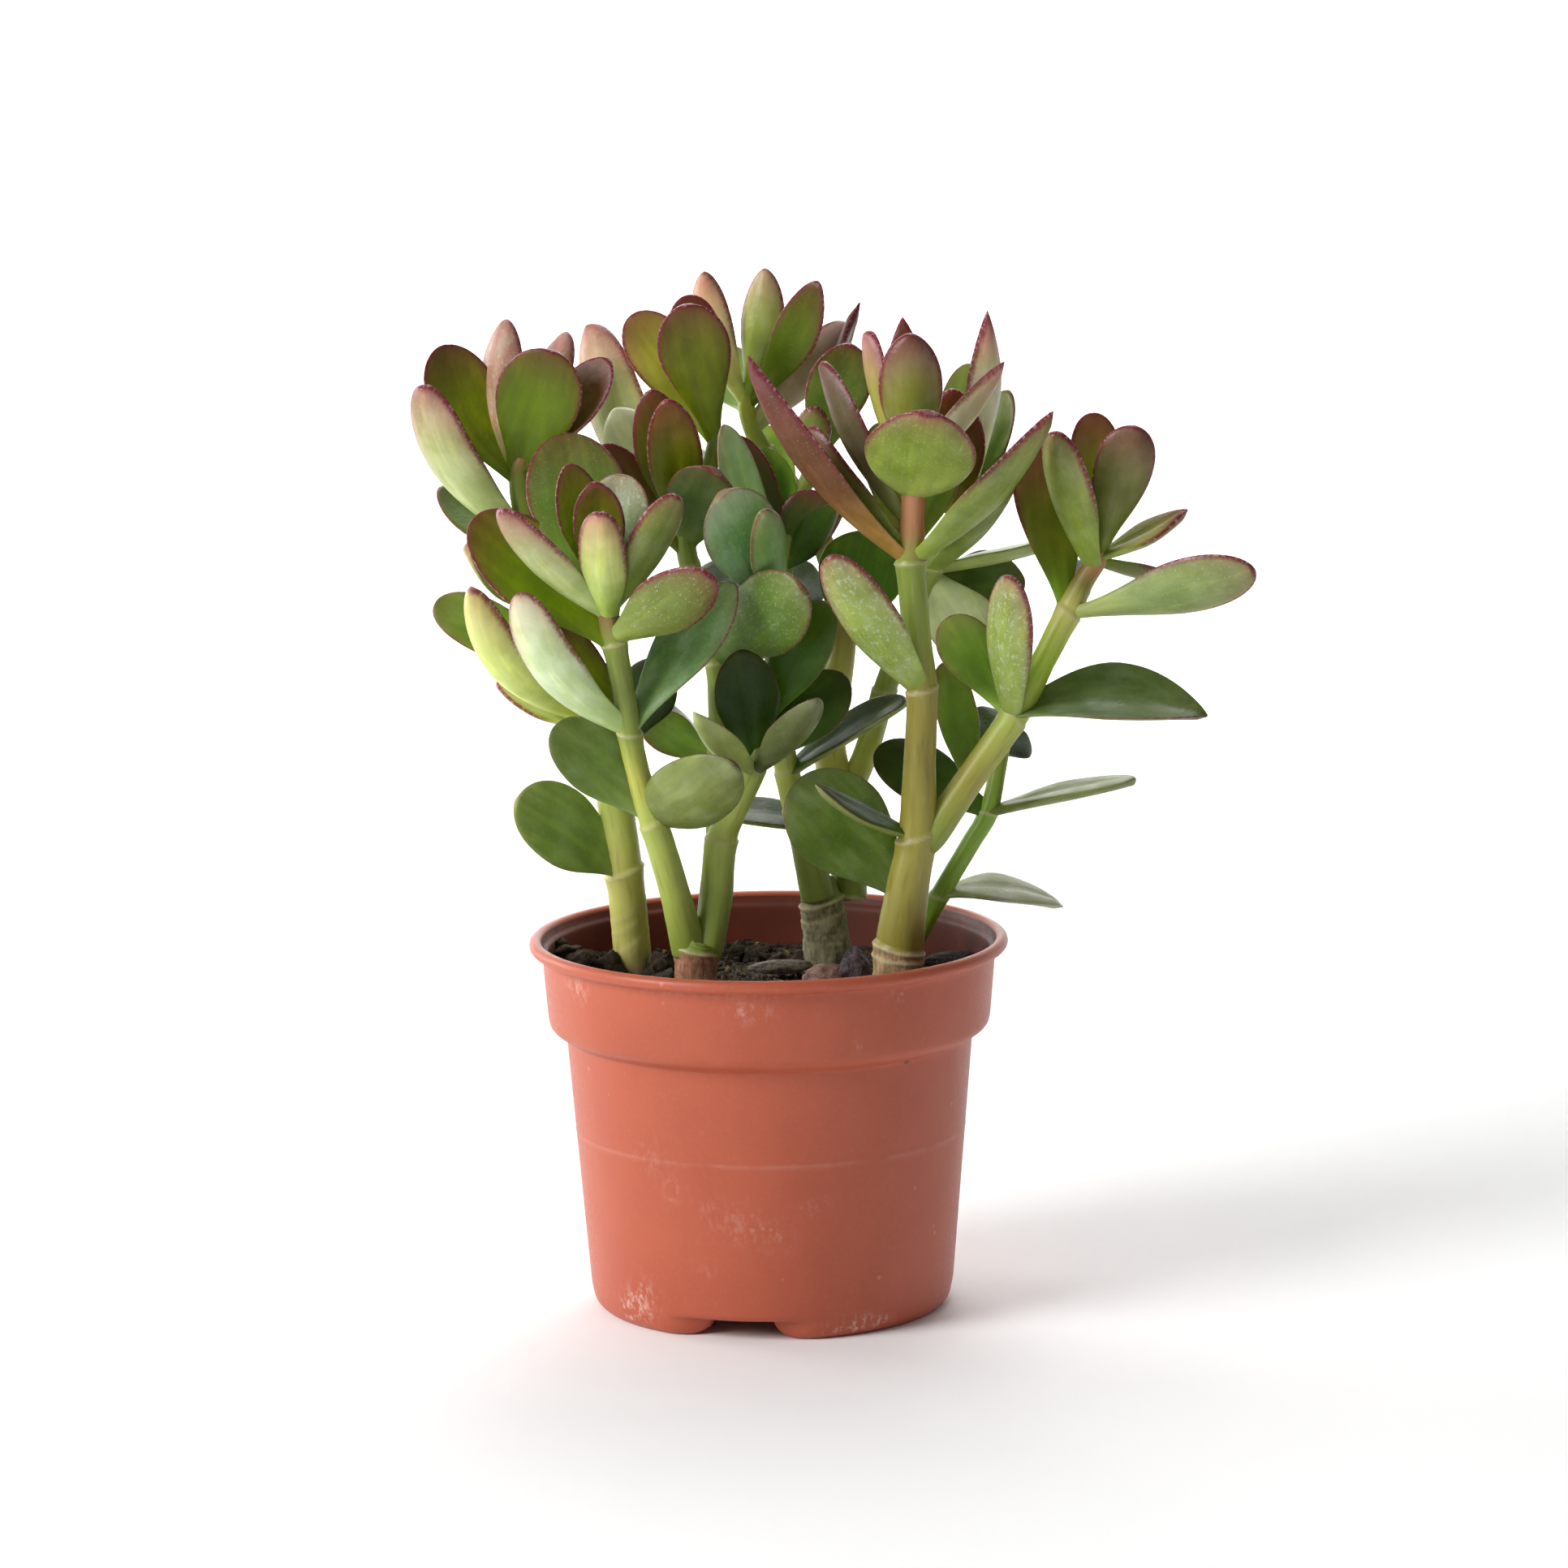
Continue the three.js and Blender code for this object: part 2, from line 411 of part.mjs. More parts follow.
// a lathe turns about Y, so the pieces made with it are stood up onto Z
function turned(outline, sides) {
  return new THREE.LatheGeometry(outline, sides).rotateX(Math.PI / 2);
}

function footNotch(angle) {
  const { width, height, corner } = FOOT_NOTCH;
  const arch = new THREE.Shape();
  arch.moveTo(-width / 2, -1);
  arch.lineTo(width / 2, -1);
  arch.lineTo(width / 2, height - corner);
  arch.quadraticCurveTo(width / 2, height, width / 2 - corner, height);
  arch.lineTo(corner - width / 2, height);
  arch.quadraticCurveTo(-width / 2, height, -width / 2, height - corner);
  const cut = new THREE.ExtrudeGeometry(arch, { depth: 12, bevelEnabled: false, curveSegments: 3 });
  cut.rotateX(Math.PI / 2).rotateZ(Math.PI / 2);
  cut.translate(BASE_RADIUS - 6, 0, 0);
  return solid(cut.rotateZ(angle));
}

function drainHole(angle) {
  const hole = new THREE.CylinderGeometry(DRAIN_HOLE.radius, DRAIN_HOLE.radius, 10, 10);
  hole.rotateX(Math.PI / 2).translate(DRAIN_HOLE.ring, 0, FLOOR_TOP);
  return solid(hole.rotateZ(angle));
}

function pot() {
  let body = solid(turned(potOutline(), POT_SIDES));
  for (let i = 0; i < FOOT_NOTCH.count; i += 1) {
    const angle = THREE.MathUtils.degToRad(FOOT_NOTCH.firstAngle + (360 * i) / FOOT_NOTCH.count);
    body = body.subtract(footNotch(angle));
  }
  for (let i = 0; i < DRAIN_HOLE.count; i += 1) {
    body = body.subtract(drainHole((2 * Math.PI * i) / DRAIN_HOLE.count));
  }
  return body;
}

// ---- stones and bark on the soil -----------------------------------------------
// each is a rough lump: a faceted ball, stretched, its corners moved by a seeded draw
const LUMPS = [
  { name: 'stone_pale', at: [1016, 1203, 2.5], size: [5.2, 4.2, 3.4], turn: 20, colour: 0xb08a80 },
  { name: 'stone_pointed', at: [1054, 1186, 4.5], size: [4.4, 3.6, 4.6], turn: 60, colour: 0x6f6068 },
  { name: 'bark_chip_flat', at: [962, 1191, 8], size: [8.0, 4.2, 1.7], turn: 8, colour: 0x7d7468 },
  { name: 'bark_chip_right', at: [1172, 1182, 16], size: [7.0, 3.4, 2.2], turn: 14, colour: 0x3b2f29 },
];

function lumpGeometry({ at, size, turn }, grow) {
  const geometry = new THREE.IcosahedronGeometry(1, 0);
  const position = geometry.attributes.position;
  const v = new THREE.Vector3();
  for (let i = 0; i < position.count; i += 1) {
    v.fromBufferAttribute(position, i);
    const rough = 0.88 + 0.12 * Math.sin(7 * v.x + 5 * v.y * turn + 3 * v.z);
    position.setXYZ(i, v.x * rough * (size[0] + grow), v.y * rough * (size[1] + grow),
      v.z * rough * (size[2] + grow));
  }
  geometry.rotateZ(THREE.MathUtils.degToRad(turn));
  const place = seen(...at);
  return geometry.translate(place.x, place.y, place.z);
}

// ---- soil ----------------------------------------------------------------------
function soil() {
  const outline = [
    [0, FLOOR_TOP + GAP], [43.0, FLOOR_TOP + GAP], [44.2, FLOOR_TOP + 2],
    [51.0 - WALL - GAP, STEP_HEIGHT + 1], [51.7, 72.6], [53.2, 74.6], [53.9, 76.5],
    [54.2, SOIL_EDGE], [40, SOIL_EDGE + 0.6], [0, SOIL_CROWN],
  ].map(([r, z]) => new THREE.Vector2(r, z));
  let body = solid(turned(outline, SOIL_SIDES));
  for (const name of Object.keys(STEMS)) body = body.subtract(stem(STEMS[name][0], true, GAP));
  for (const lump of LUMPS) body = body.subtract(solid(lumpGeometry(lump, GAP)));
  return body;
}

// ---- the plant -------------------------------------------------------------------
const plant = new THREE.Group();
plant.add(piece('pot', geometryOf(pot()), 0xb4604c, 0.5));
plant.add(piece('soil', geometryOf(soil()), 0x2c211c, 0.95));
for (const lump of LUMPS) plant.add(piece(lump.name, lumpGeometry(lump, 0), lump.colour, 0.9));
for (const name of Object.keys(STEMS)) {
  plant.add(piece(`leafy_stem_${name}`, geometryOf(leafyStem(name)), 0x6f8a3c, 0.45));
}

// the origin is the middle of the whole plant's footprint, on the surface it stands on
const bounds = new THREE.Box3().setFromObject(plant);
const middle = bounds.getCenter(new THREE.Vector3());
plant.position.set(-middle.x, -middle.y, 0);

export default plant;
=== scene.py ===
"""Potted jade plant: the finished looks around the CAD part.

A terracotta-coloured nursery pot filled with crumbly soil carries five leafy
stems of thick paddle-shaped leaves. Sizes are worked out in millimetres about
the pot's axis and put into the meshes in metres.
"""

import bpy
import numpy as np
from mathutils import Matrix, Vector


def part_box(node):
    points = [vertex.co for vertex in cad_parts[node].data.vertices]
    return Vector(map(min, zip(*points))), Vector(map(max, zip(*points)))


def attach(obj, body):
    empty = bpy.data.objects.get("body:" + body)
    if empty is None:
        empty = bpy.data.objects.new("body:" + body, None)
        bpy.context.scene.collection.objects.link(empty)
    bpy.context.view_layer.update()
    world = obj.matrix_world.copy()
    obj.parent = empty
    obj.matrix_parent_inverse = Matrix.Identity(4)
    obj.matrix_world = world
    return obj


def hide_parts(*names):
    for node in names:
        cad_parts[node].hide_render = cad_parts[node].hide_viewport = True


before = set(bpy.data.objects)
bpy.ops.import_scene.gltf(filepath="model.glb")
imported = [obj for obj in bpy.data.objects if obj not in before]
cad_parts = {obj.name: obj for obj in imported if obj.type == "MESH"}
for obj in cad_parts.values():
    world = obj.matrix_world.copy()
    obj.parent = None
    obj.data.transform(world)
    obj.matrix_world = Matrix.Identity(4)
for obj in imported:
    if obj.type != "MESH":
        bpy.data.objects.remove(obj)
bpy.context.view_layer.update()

MM = 0.001
pot_low, pot_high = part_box("pot")
POT_AXIS = (np.array(pot_low) + np.array(pot_high)) / 2 / MM
POT_AXIS[2] = 0.0
LIP_RADIUS = (pot_high.x - pot_low.x) / 2 / MM
draw = np.random.default_rng(24)

# ---- where things are seen ----
# Stems and leaves are placed as they look from one fixed eye point in front of
# the plant: across and down on a square view, and a depth in mm behind the
# pot's axis. The eye looks a little down and is slightly tilted.
EYE = np.array([4.3, -1700.0, 430.0])
AIM = np.array([4.3, 0.0, 132.0])
TILT = np.radians(0.65)
FOCAL = 8515.0
VIEW_SIDE = 1932.0
VIEW_CENTRE = VIEW_SIDE / 2
PX_PER_MM = 5  # about, on the view
FORWARD = (AIM - EYE) / np.linalg.norm(AIM - EYE)
RIGHT = np.array([1.0, 0.0, 0.0])
UP = np.cross(RIGHT, FORWARD)


def seen(places):
    """Rows of across, down, depth become points in mm about the pot's axis: the
    sight line through each place is followed until it reaches that depth."""
    across, down, depth = np.asarray(places, float).T[:3]
    u, v = across - VIEW_CENTRE, down - VIEW_CENTRE
    x = np.cos(TILT) * u - np.sin(TILT) * v
    y = np.sin(TILT) * u + np.cos(TILT) * v
    ray = FORWARD + np.outer(x, RIGHT) / FOCAL - np.outer(y, UP) / FOCAL
    return EYE + ray * ((depth - EYE[1]) / ray[:, 1])[:, None]


def written(table, mark="\n"):
    """The rows of a table written out with a mark between them: words stay words and
    numbers become numbers."""
    return [[cell if cell[0].isalpha() else float(cell) for cell in row.split()]
            for row in table.strip().split(mark)]


# ---- stems ----
# for each stem its main path, which stands in the soil, then its branches; each
# point is a colour, across, down, depth and the radius in mm
STEMS = {
    "left_back": [
        """clay 780 1192 20 5, straw 777 1150 18 4.7, straw 769 1073 15 4.8, lime 757 985 14 4.5,
        lime 742 895 12 4, green 716 815 10 3.2, green 680 735 8 2.9, green 652 665 6 2.7,
        green 638 592 4 2.3, rosy 644 562 4 1.4""",
    ],
    "left_front": [
        """moss 858 1225 -12 5.3, green 857 1168 -12 5.3, green 860 1157 -12 4.7""",
        """green 850 1172 -12 4.5, lime 830 1095 -15 3.7, lime 806 1015 -18 3.6,
        yellow 787 955 -21 2.9, green 776 905 -23 3, moss 768 850 -25 2.8, green 757 792 -27 3,
        wine 748 748 -28 2.5, wine 745 722 -28 1.4""",
        """moss 869 1178 -11 3.6, green 873 1162 -11 4, green 882 1105 -8 4.2, lime 889 1035 -6 4,
        lime 906 1000 -8 2.8, green 929 950 -9 2.8, green 937 905 -6 2.2, green 944 864 -3 1.5""",
        """green 886 1045 -3 3.4, green 885 960 4 3, green 886 870 8 2.8, green 878 790 10 2.7,
        moss 845 670 11 2.6, green 868 600 12 2.3, moss 880 550 13 2, moss 883 528 14 1.3""",
    ],
    "centre": [
        """dark 1022 1205 13 6.2, dark 1018 1150 13 5.8, moss 1012 1106 12 5.2,
        moss 1010 1080 12 3.5""",
        """moss 1008 1105 10 4.4, green 990 1030 8 3.6, lush 970 953 6 3.1, green 962 890 6 2.8,
        green 955 820 6 2.6, green 955 750 6 2.6, green 966 697 9 2.5, green 980 630 15 2.1,
        green 1000 578 20 2, green 1010 545 22 1.3""",
        """moss 1048 1110 16 4.4, dark 1040 1010 20 4.4, straw 1022 920 23 4.2,
        straw 1030 850 25 3.8, tan 1038 780 26 3.4, moss 1022 690 28 3, green 975 600 30 2.6,
        green 935 545 30 2.4, yellow 920 503 30 2.2, yellow 924 482 30 1.3""",
        """dark 1036 995 21 3.4, lush 1066 930 22 3.2, green 1090 850 20 3, green 1118 775 16 2.8,
        green 1146 708 12 2.8, green 1170 650 12 2.3, green 1196 600 12 2, green 1204 575 12 1.3""",
    ],
    "right": [
        """khaki 1107 1226 -10 6.3, khaki 1108 1168 -10 6.2, honey 1119 1090 -11 5.3,
        honey 1130 1030 -12 4.8, khaki 1133 940 -13 4, khaki 1136 852 -14 3.8,
        green 1129 780 -15 3.5, green 1122 692 -16 3.6, rosy 1124 645 -17 3.1,
        rosy 1125 608 -18 2.9, yellow 1123 562 -18 1.6""",
        """moss 1130 1052 -12 2.6, green 1149 1028 -12 3.9, honey 1195 960 -10 3.7,
        lime 1247 886 -8 3.7, leek 1285 815 -7 3.1, straw 1315 757 -6 3.3, tan 1334 718 -5 2.7,
        rosy 1352 690 -5 2.5, rosy 1357 674 -5 1.4""",
    ],
    "right_low": [
        """grass 1114 1183 14 2.7, grass 1146 1124 9 2.5, grass 1172 1079 6 2.4,
        grass 1197 1037 7 2.4, grass 1218 1000 8 2.4, green 1231 940 11 2.1,
        green 1238 908 12 1.4""",
    ],
}

# ---- leaves ----
# name; root across, down, depth; tip across, down, depth; width in mm; degrees its
# upper face is turned from the eye, bow and cup in hundredths; form; sideways bend in
# hundredths; upper finish, under finish; and, where it isn't 1, painted light and shade:
# how much lighter or darker than its finish the leaf is painted, lighter deep in the
# plant where shade falls and darker where the lamps make it look too pale
ROOT, TIP, WIDTH, ATTITUDE = slice(1, 4), slice(4, 7), 7, slice(8, 11)
FORM, BEND, UPPER, UNDER, PAINTED_LIGHTNESS = 11, 12, 13, 14, 15
LEAVES = {
    "left_back": """
    A2 636 592 5 551 424 14 19 28 -5 10 paddle -7.5 olive pale 1.12
    A3 634 586 5 625 393 20 13 150 -3 10 oval 7 deep pink
    A4 640 590 2 679 431 1 22 -8 -2 5 round 0 deep pale
    A5 648 580 4 752 443 8 15 -35 -3 12 oval 0 maroon pale
    A6 643 572 5 699 409 25 11 150 -3 10 oval 0 deep pink
    A1 652 665 5 522 474 -10 16 138 -6 12 oblong 8.5 deep cream 0.95
    L2 655 680 6 541 600 18 16 50 -6 10 oval 0 green pale
    L1 690 755 8 574 672 -4 16 50 -6 10 oval 0 fresh pale 1.8
    L3 712 850 13 535 744 14 16 30 3 5 paddle 0 green pale 1.25
    L4 738 893 9 584 724 -8 16 120 -12 25 oblong 13 yellow lemon
    L4b 742 895 13 612 838 18 13 55 -5 10 oblong 0 lemon lemon
    L8 766 1076 12 636 985 0 21 22 4 5 round 0 fresh pale 1.35
    H1 740 890 15 686 786 44 16 0 -5 10 oval 0 green pale
    H2 682 735 11 722 640 42 17 0 -5 10 paddle 0 green pale
    H3 655 662 9 735 612 36 16 -20 -5 10 oval 0 green pale
    H4 641 588 7 668 500 38 17 0 -5 10 paddle 0 deep pale
    """,
    "left_front": """
    L7 802 1008 -18 684 893 -14 18 20 2 5 round 0 fresh pale 0.7
    L9 803 1011 -20 907 942 -40 20 -160 -5 5 disc 0 green plain 0.54
    L5 772 905 -25 642 729 -36 14 148 -8 12 oblong 8.5 green pearl
    L6 770 897 -20 690 768 -18 11 25 -8 12 oval 0 olive pale
    B11 782 897 -23 905 718 -12 18 -35 2 8 oval 0 sage pale
    B10 758 790 -29 876 706 -52 17 -155 -5 5 round 0 green speckled 0.64
    B1 755 790 -27 583 638 -20 22 22 0 6 round 0 deep pale 1.15
    B2 750 762 -30 618 626 -42 13 128 -3 12 oblong 4.8 green cream
    B3 742 735 -27 700 571 -24 14 30 -4 12 oval 0 deep pale 1.75
    B4 746 735 -28 733 593 -31 13 5 -4 12 oval 0 olive pale
    B5 755 766 -31 738 630 -42 12 168 -6 15 oblong 0 green sorrel 1.1
    B6 762 752 -29 834 609 -38 12 -145 -3 10 oblong 0 green leaf
    B7 752 735 -26 766 584 -17 17 -15 -3 5 round 0 frost pale
    B8 744 740 -25 692 535 -3 25 8 0 5 round 0 fern pale 0.95
    M1 926 948 -11 854 876 -28 10 130 -5 15 lance 0 green ashen 1.45
    M2 930 948 -11 1007 860 -30 12 -135 -5 15 oval 0 green ashen 0.45
    M3 927 940 -11 912 800 -10 16.5 8 0 8 oval 0 dark pale
    M4 935 942 -8 1042 832 2 17 -20 0 6 oval 0 dark pale
    M5 940 888 -5 1020 742 -7 15 -15 0 6 round 0 dark pale 2.2
    M6 884 814 4 990 722 -22 20.5 172 -2 5 round 0 green shaded 1.6
    P1 884 938 6 793 885 12 14 40 -5 10 paddle 0 green pale
    P2 884 925 7 818 862 40 12 75 -5 10 paddle 0 dark pale
    A7 838 655 13 727 400 44 17 152 -5 10 oblong 3 deep flushed 1.1
    N1 840 672 12 757 503 20 17 172 -3 8 oval 0 deep dove 3.2
    N2 838 690 9 742 548 2 12 20 -3 8 oval 0 maroon pale
    D1 842 672 9 801 480 3 15 0 -2 8 oval 0 umber pale 1.4
    D2 846 672 7 823 492 -5 14 2 -2 8 oval 0 umber pale 2
    D7 838 676 7 880 580 -9 19 -5 -2 8 round 0 green pale 0.55
    C2 880 545 12 843 375 6 18 2 0 5 paddle 0 olive pale 0.85
    C3 876 545 13 780 386 22 16 18 0 8 paddle 0 gold pale 1.6
    C4 881 545 14 847 363 16 14 0 0 8 paddle 0 maroon pale
    H5 780 905 -20 812 812 6 15 0 -5 10 oval 0 dark pale
    H6 882 812 11 820 762 38 16 0 -5 10 paddle 0 dark pale
    H7 873 768 13 905 690 42 17 0 -5 10 oval 0 dark pale
    H8 868 602 15 834 580 46 16 0 -5 10 paddle 0 green pale
    """,
    "centre": """
    C1 974 952 4 1118 862 4 14 -64 4 12 oblong 0 dark ashen
    D8 948 745 3 890 608 -18 20 10 -3 5 round 0 mint pale 1.25
    D9 953 745 1 939 628 -22 12 -145 -3 10 oval 0 fresh sage 1.5
    D3 950 724 6 891 523 4 12 30 -3 12 oval 0 jade pale 3.8
    D4 957 712 9 906 536 16 13 8 -2 8 oval 0 edged pale
    D5 960 702 9 941 551 22 14 -12 -2 8 oval 0 dark pale 6
    K3 968 697 8 1010 606 12 14 -10 -2 8 round 0 edged leaf
    K4 970 697 6 1040 620 -1 13 -48 -2 12 lance 0 dark shaded 0.9
    K5 1036 790 23 1075 655 14 22 0 -2 6 round 0 dark pale 3.4
    J1 1005 570 21 1050 424 15 16 10 -2 8 round 0 fern pale
    J2 1010 560 23 1060 373 30 10 76 -3 10 lance 0 maroon mauve 0.9
    J3 1004 572 18 1003 500 12 9 170 -4 10 oval 0 green leaf
    Q1 1038 1018 21 866 998 20 13 60 3 10 oblong 0 dark ashen
    C1r 910 502 30 868 334 29 11 155 -3 12 oval 6 maroon salmon 1.15
    C5 930 497 31 942 330 32 11 168 -3 12 oval -4 green blond
    C6 928 500 28 1008 346 18 12 -20 -2 10 oval 5 deep pale 0.85
    C7 932 525 30 1044 398 32 11 -165 -2 8 oblong 0 green mauve 1.7
    D6 984 632 15 930 522 40 11 0 -2 8 oval 0 green ruddy 3.4
    G1 1203 590 12 1217 382 -2 10 -150 -4 15 lance 0 crimson blush 2.4
    G2 1180 640 12 1243 480 18 13 -35 -3 10 oval 0 green pale 1.1
    E13 1176 645 15 1196 448 38 14 -10 -2 8 round 0 green pale 1.6
    G3 1172 645 10 1174 479 8 12 5 -2 8 round 0 maroon pale
    G3b 1176 640 9 1190 500 -3 12 -8 -2 8 oval 0 maroon pale
    E4 1150 708 9 1245 592 -11 14 -112 -4 12 oblong 0 green leaf
    G4 1152 704 13 1300 668 16 14 -88 0 12 oblong 0 green ashen 1.25
    G5 1150 712 14 1262 717 26 16 -22 2 5 round 0 green speckled 0.6
    G6 1148 712 9 1206 800 8 17 -178 3 5 round 0 green grey
    H9 955 750 9 1000 696 38 16 0 -5 10 oval 0 dark pale
    H10 962 890 8 984 800 36 14 0 -5 10 oval 0 dark pale
    H11 1026 850 28 975 790 54 16 0 -5 10 oval 0 dark pale
    H13 916 505 32 876 432 60 15 0 -5 10 paddle 0 green pale
    H15 1182 622 14 1185 540 44 15 0 -5 10 paddle 0 green pale
    """,
    "right": """
    Cc3 1106 1029 -14 1004 967 -22 10 68 -4 12 lance 0 dark ashen
    C2r 1112 1093 -9 981 962 -4 25 8 0 4 round 0 moss pale
    E1 1130 852 -16 1022 684 -38 15 152 -5 10 oblong 0 green bright 0.85
    E2 1116 692 -18 922 438 -32 16 116 -6 12 lance 3 crimson brick 0.74
    E3 1130 692 -18 1298 507 -28 16 -120 -6 12 lance 0 crimson leaf 0.95
    E5 1126 612 -20 1143 507 -50 27 -178 -4 4 disc 0 green speckled
    E6 1124 582 -18 1121 410 -26 16 180 -5 12 oval 0 maroon lilac 0.92
    E7 1122 588 -17 1070 407 -14 12 115 -5 12 oblong 0 maroon rosy 1.3
    E9 1128 580 -17 1238 445 -18 11 -118 -3 12 lance 0 crimson ruddy 3.8
    E8 1118 645 -14 1013 445 -4 14 118 -5 10 oval 0 maroon plum
    E10 1116 680 -13 996 526 -8 13 118 -5 10 oblong 0 maroon dusky 1.1
    E12 1123 582 -18 1112 390 -6 12 5 -3 10 lance 0 maroon pale
    E14 1118 676 -13 1084 520 -6 14 20 -3 8 round 0 green pale 4.5
    E15 1128 676 -13 1172 545 -5 12 -20 -3 8 round 0 green pale 2
    F8 1244 890 -10 1246 709 -28 14 142 -5 12 oblong 0 green bright 0.82
    F9 1258 886 -9 1488 883 -16 22 -50 10 22 lance 0 fresh pale 0.52
    G7 1238 886 -6 1168 760 2 15 20 -2 6 paddle 0 green pale 1.9
    G8 1190 962 -8 1166 815 6 11 20 -2 10 oblong 0 green pale
    F5 1310 757 -5 1282 546 6 18 14 -2 6 paddle 0 russet pale 1.35
    F6 1320 757 -7 1547 702 -26 16 -148 -2 8 paddle 0 celery celery
    F4 1348 700 -6 1301 531 -22 14 140 -4 12 oblong 0 green leaf
    F7 1356 690 -3 1442 712 8 10 -100 0 10 oblong 0 green dusky
    F1 1354 684 -4 1347 508 6 13 10 -2 10 paddle 0 russet pale 1.4
    F2 1358 686 -6 1399 524 -14 15 -172 -3 8 paddle 0 green dusky
    F3 1360 686 -5 1464 628 -8 11 -62 -3 12 lance 0 gold pale
    H19 1317 757 -3 1330 690 30 9 0 -5 10 oval 0 dark shaded 0.4
    """,
    "right_low": """
    R2 1160 1100 6 1310 1118 14 14 -60 10 8 lance 0 dove dove 1.25
    R1 1222 1000 8 1400 960 2 12 -74 2 10 oblong 0 plain plain 0.5
    G11 1214 1000 8 1078 925 12 17 28 2 5 round 0 dark pale
    G10 1234 925 11 1262 905 25 11 0 0 5 round 0 dark shaded 0.5
    G9 1232 935 11 1206 872 24 12 15 0 5 round 0 dark pale
    """,
}


# ---- meshes ----
def put_mesh(name, points, faces, finish, smooth=True):
    """One object at the origin from points in mm about the pot's axis and faces given
    as arrays of corner numbers."""
    mesh = bpy.data.meshes.new(name)
    rows = [row for block in faces for row in block.tolist()]
    mesh.from_pydata(((points + POT_AXIS) * MM).tolist(), [], rows)
    mesh.polygons.foreach_set("use_smooth", np.full(len(rows), smooth))
    if finish:
        mesh.materials.append(finish)
    piece = bpy.data.objects.new(name, mesh)
    bpy.context.scene.collection.objects.link(piece)
    return piece


def put_values(piece, name, values):
    """A value per point, or a colour per point, that the piece's finish reads."""
    values = np.asarray(values, np.float32)
    mesh = piece.data
    if values.ndim == 1:
        mesh.attributes.new(name, "FLOAT", "POINT").data.foreach_set("value", values)
        return
    colour = np.ones((len(values), 4), np.float32)
    colour[:, :3] = values
    layer = mesh.attributes.new(name, "FLOAT_COLOR", "POINT")
    layer.data.foreach_set("color", colour.ravel())


def put_map(piece, name, across, along):
    """A flat map in mm, from two values per point, for patterns that follow the piece."""
    corners = np.empty(len(piece.data.loops), np.int32)
    piece.data.loops.foreach_get("vertex_index", corners)
    places = np.stack([across, along], 1)[corners].astype(np.float32)
    piece.data.uv_layers.new(name=name).data.foreach_set("uv", places.ravel())


def skin(rings, around, first=0):
    """Corner numbers of a tube of rings, each with the same number of points, and of
    the fans that close its ends on one point each, which follow the rings."""
    i = np.arange(rings - 1)[:, None]
    j = np.arange(around)[None, :]
    k = (j + 1) % around
    sides = np.stack([i * around + j, (i + 1) * around + j, (i + 1) * around + k,
                      i * around + k], -1).reshape(-1, 4) + first
    j, k, last = j[0], k[0], (rings - 1) * around
    start = np.stack([np.full(around, rings * around), j, k], 1) + first
    end = np.stack([np.full(around, rings * around + 1), last + k, last + j], 1) + first
    return [sides, start, end]


def skins(count, rings, around, flipped=False):
    """The skins of like tubes whose points follow one another, the other way round where
    their rings run inwards."""
    blocks = [block for number in range(count)
              for block in skin(rings, around, number * (rings * around + 2))]
    return [block[:, ::-1] for block in blocks] if flipped else blocks


def waves(points, size, layers, seed):
    """Smooth uneven value between about -1 and 1 at each point: a sum of sines along
    seeded random directions, each layer half as long and half as strong."""
    random = np.random.default_rng(seed)
    total = np.zeros(points.shape[:-1])
    for layer in range(layers):
        ways = random.normal(size=(6, points.shape[-1]))
        ways *= 2 * np.pi / (size * 0.5 ** layer) / np.linalg.norm(ways, axis=1, keepdims=True)
        ways *= random.uniform(0.7, 1.4, 6)[:, None]
        shifts = random.uniform(0, 2 * np.pi, 6)
        total += np.sin(points @ ways.T + shifts).sum(-1) * 0.5 ** layer / 4
    return total


def unit(ways):
    """Each way with its length made one."""
    return ways / np.linalg.norm(ways, axis=-1, keepdims=True)


def ease(low, high, value):
    """0 below low, 1 above high, and a smooth step between."""
    t = np.clip((value - low) / (high - low), 0, 1)
    return t * t * (3 - 2 * t)


def daylight(red, green, blue):
    """A colour as the eye sees it, 0 to 255, as the light it sends back."""
    value = np.array([red, green, blue]) / 255
    return np.where(value <= 0.04045, value / 12.92, ((value + 0.055) / 1.055) ** 2.4)


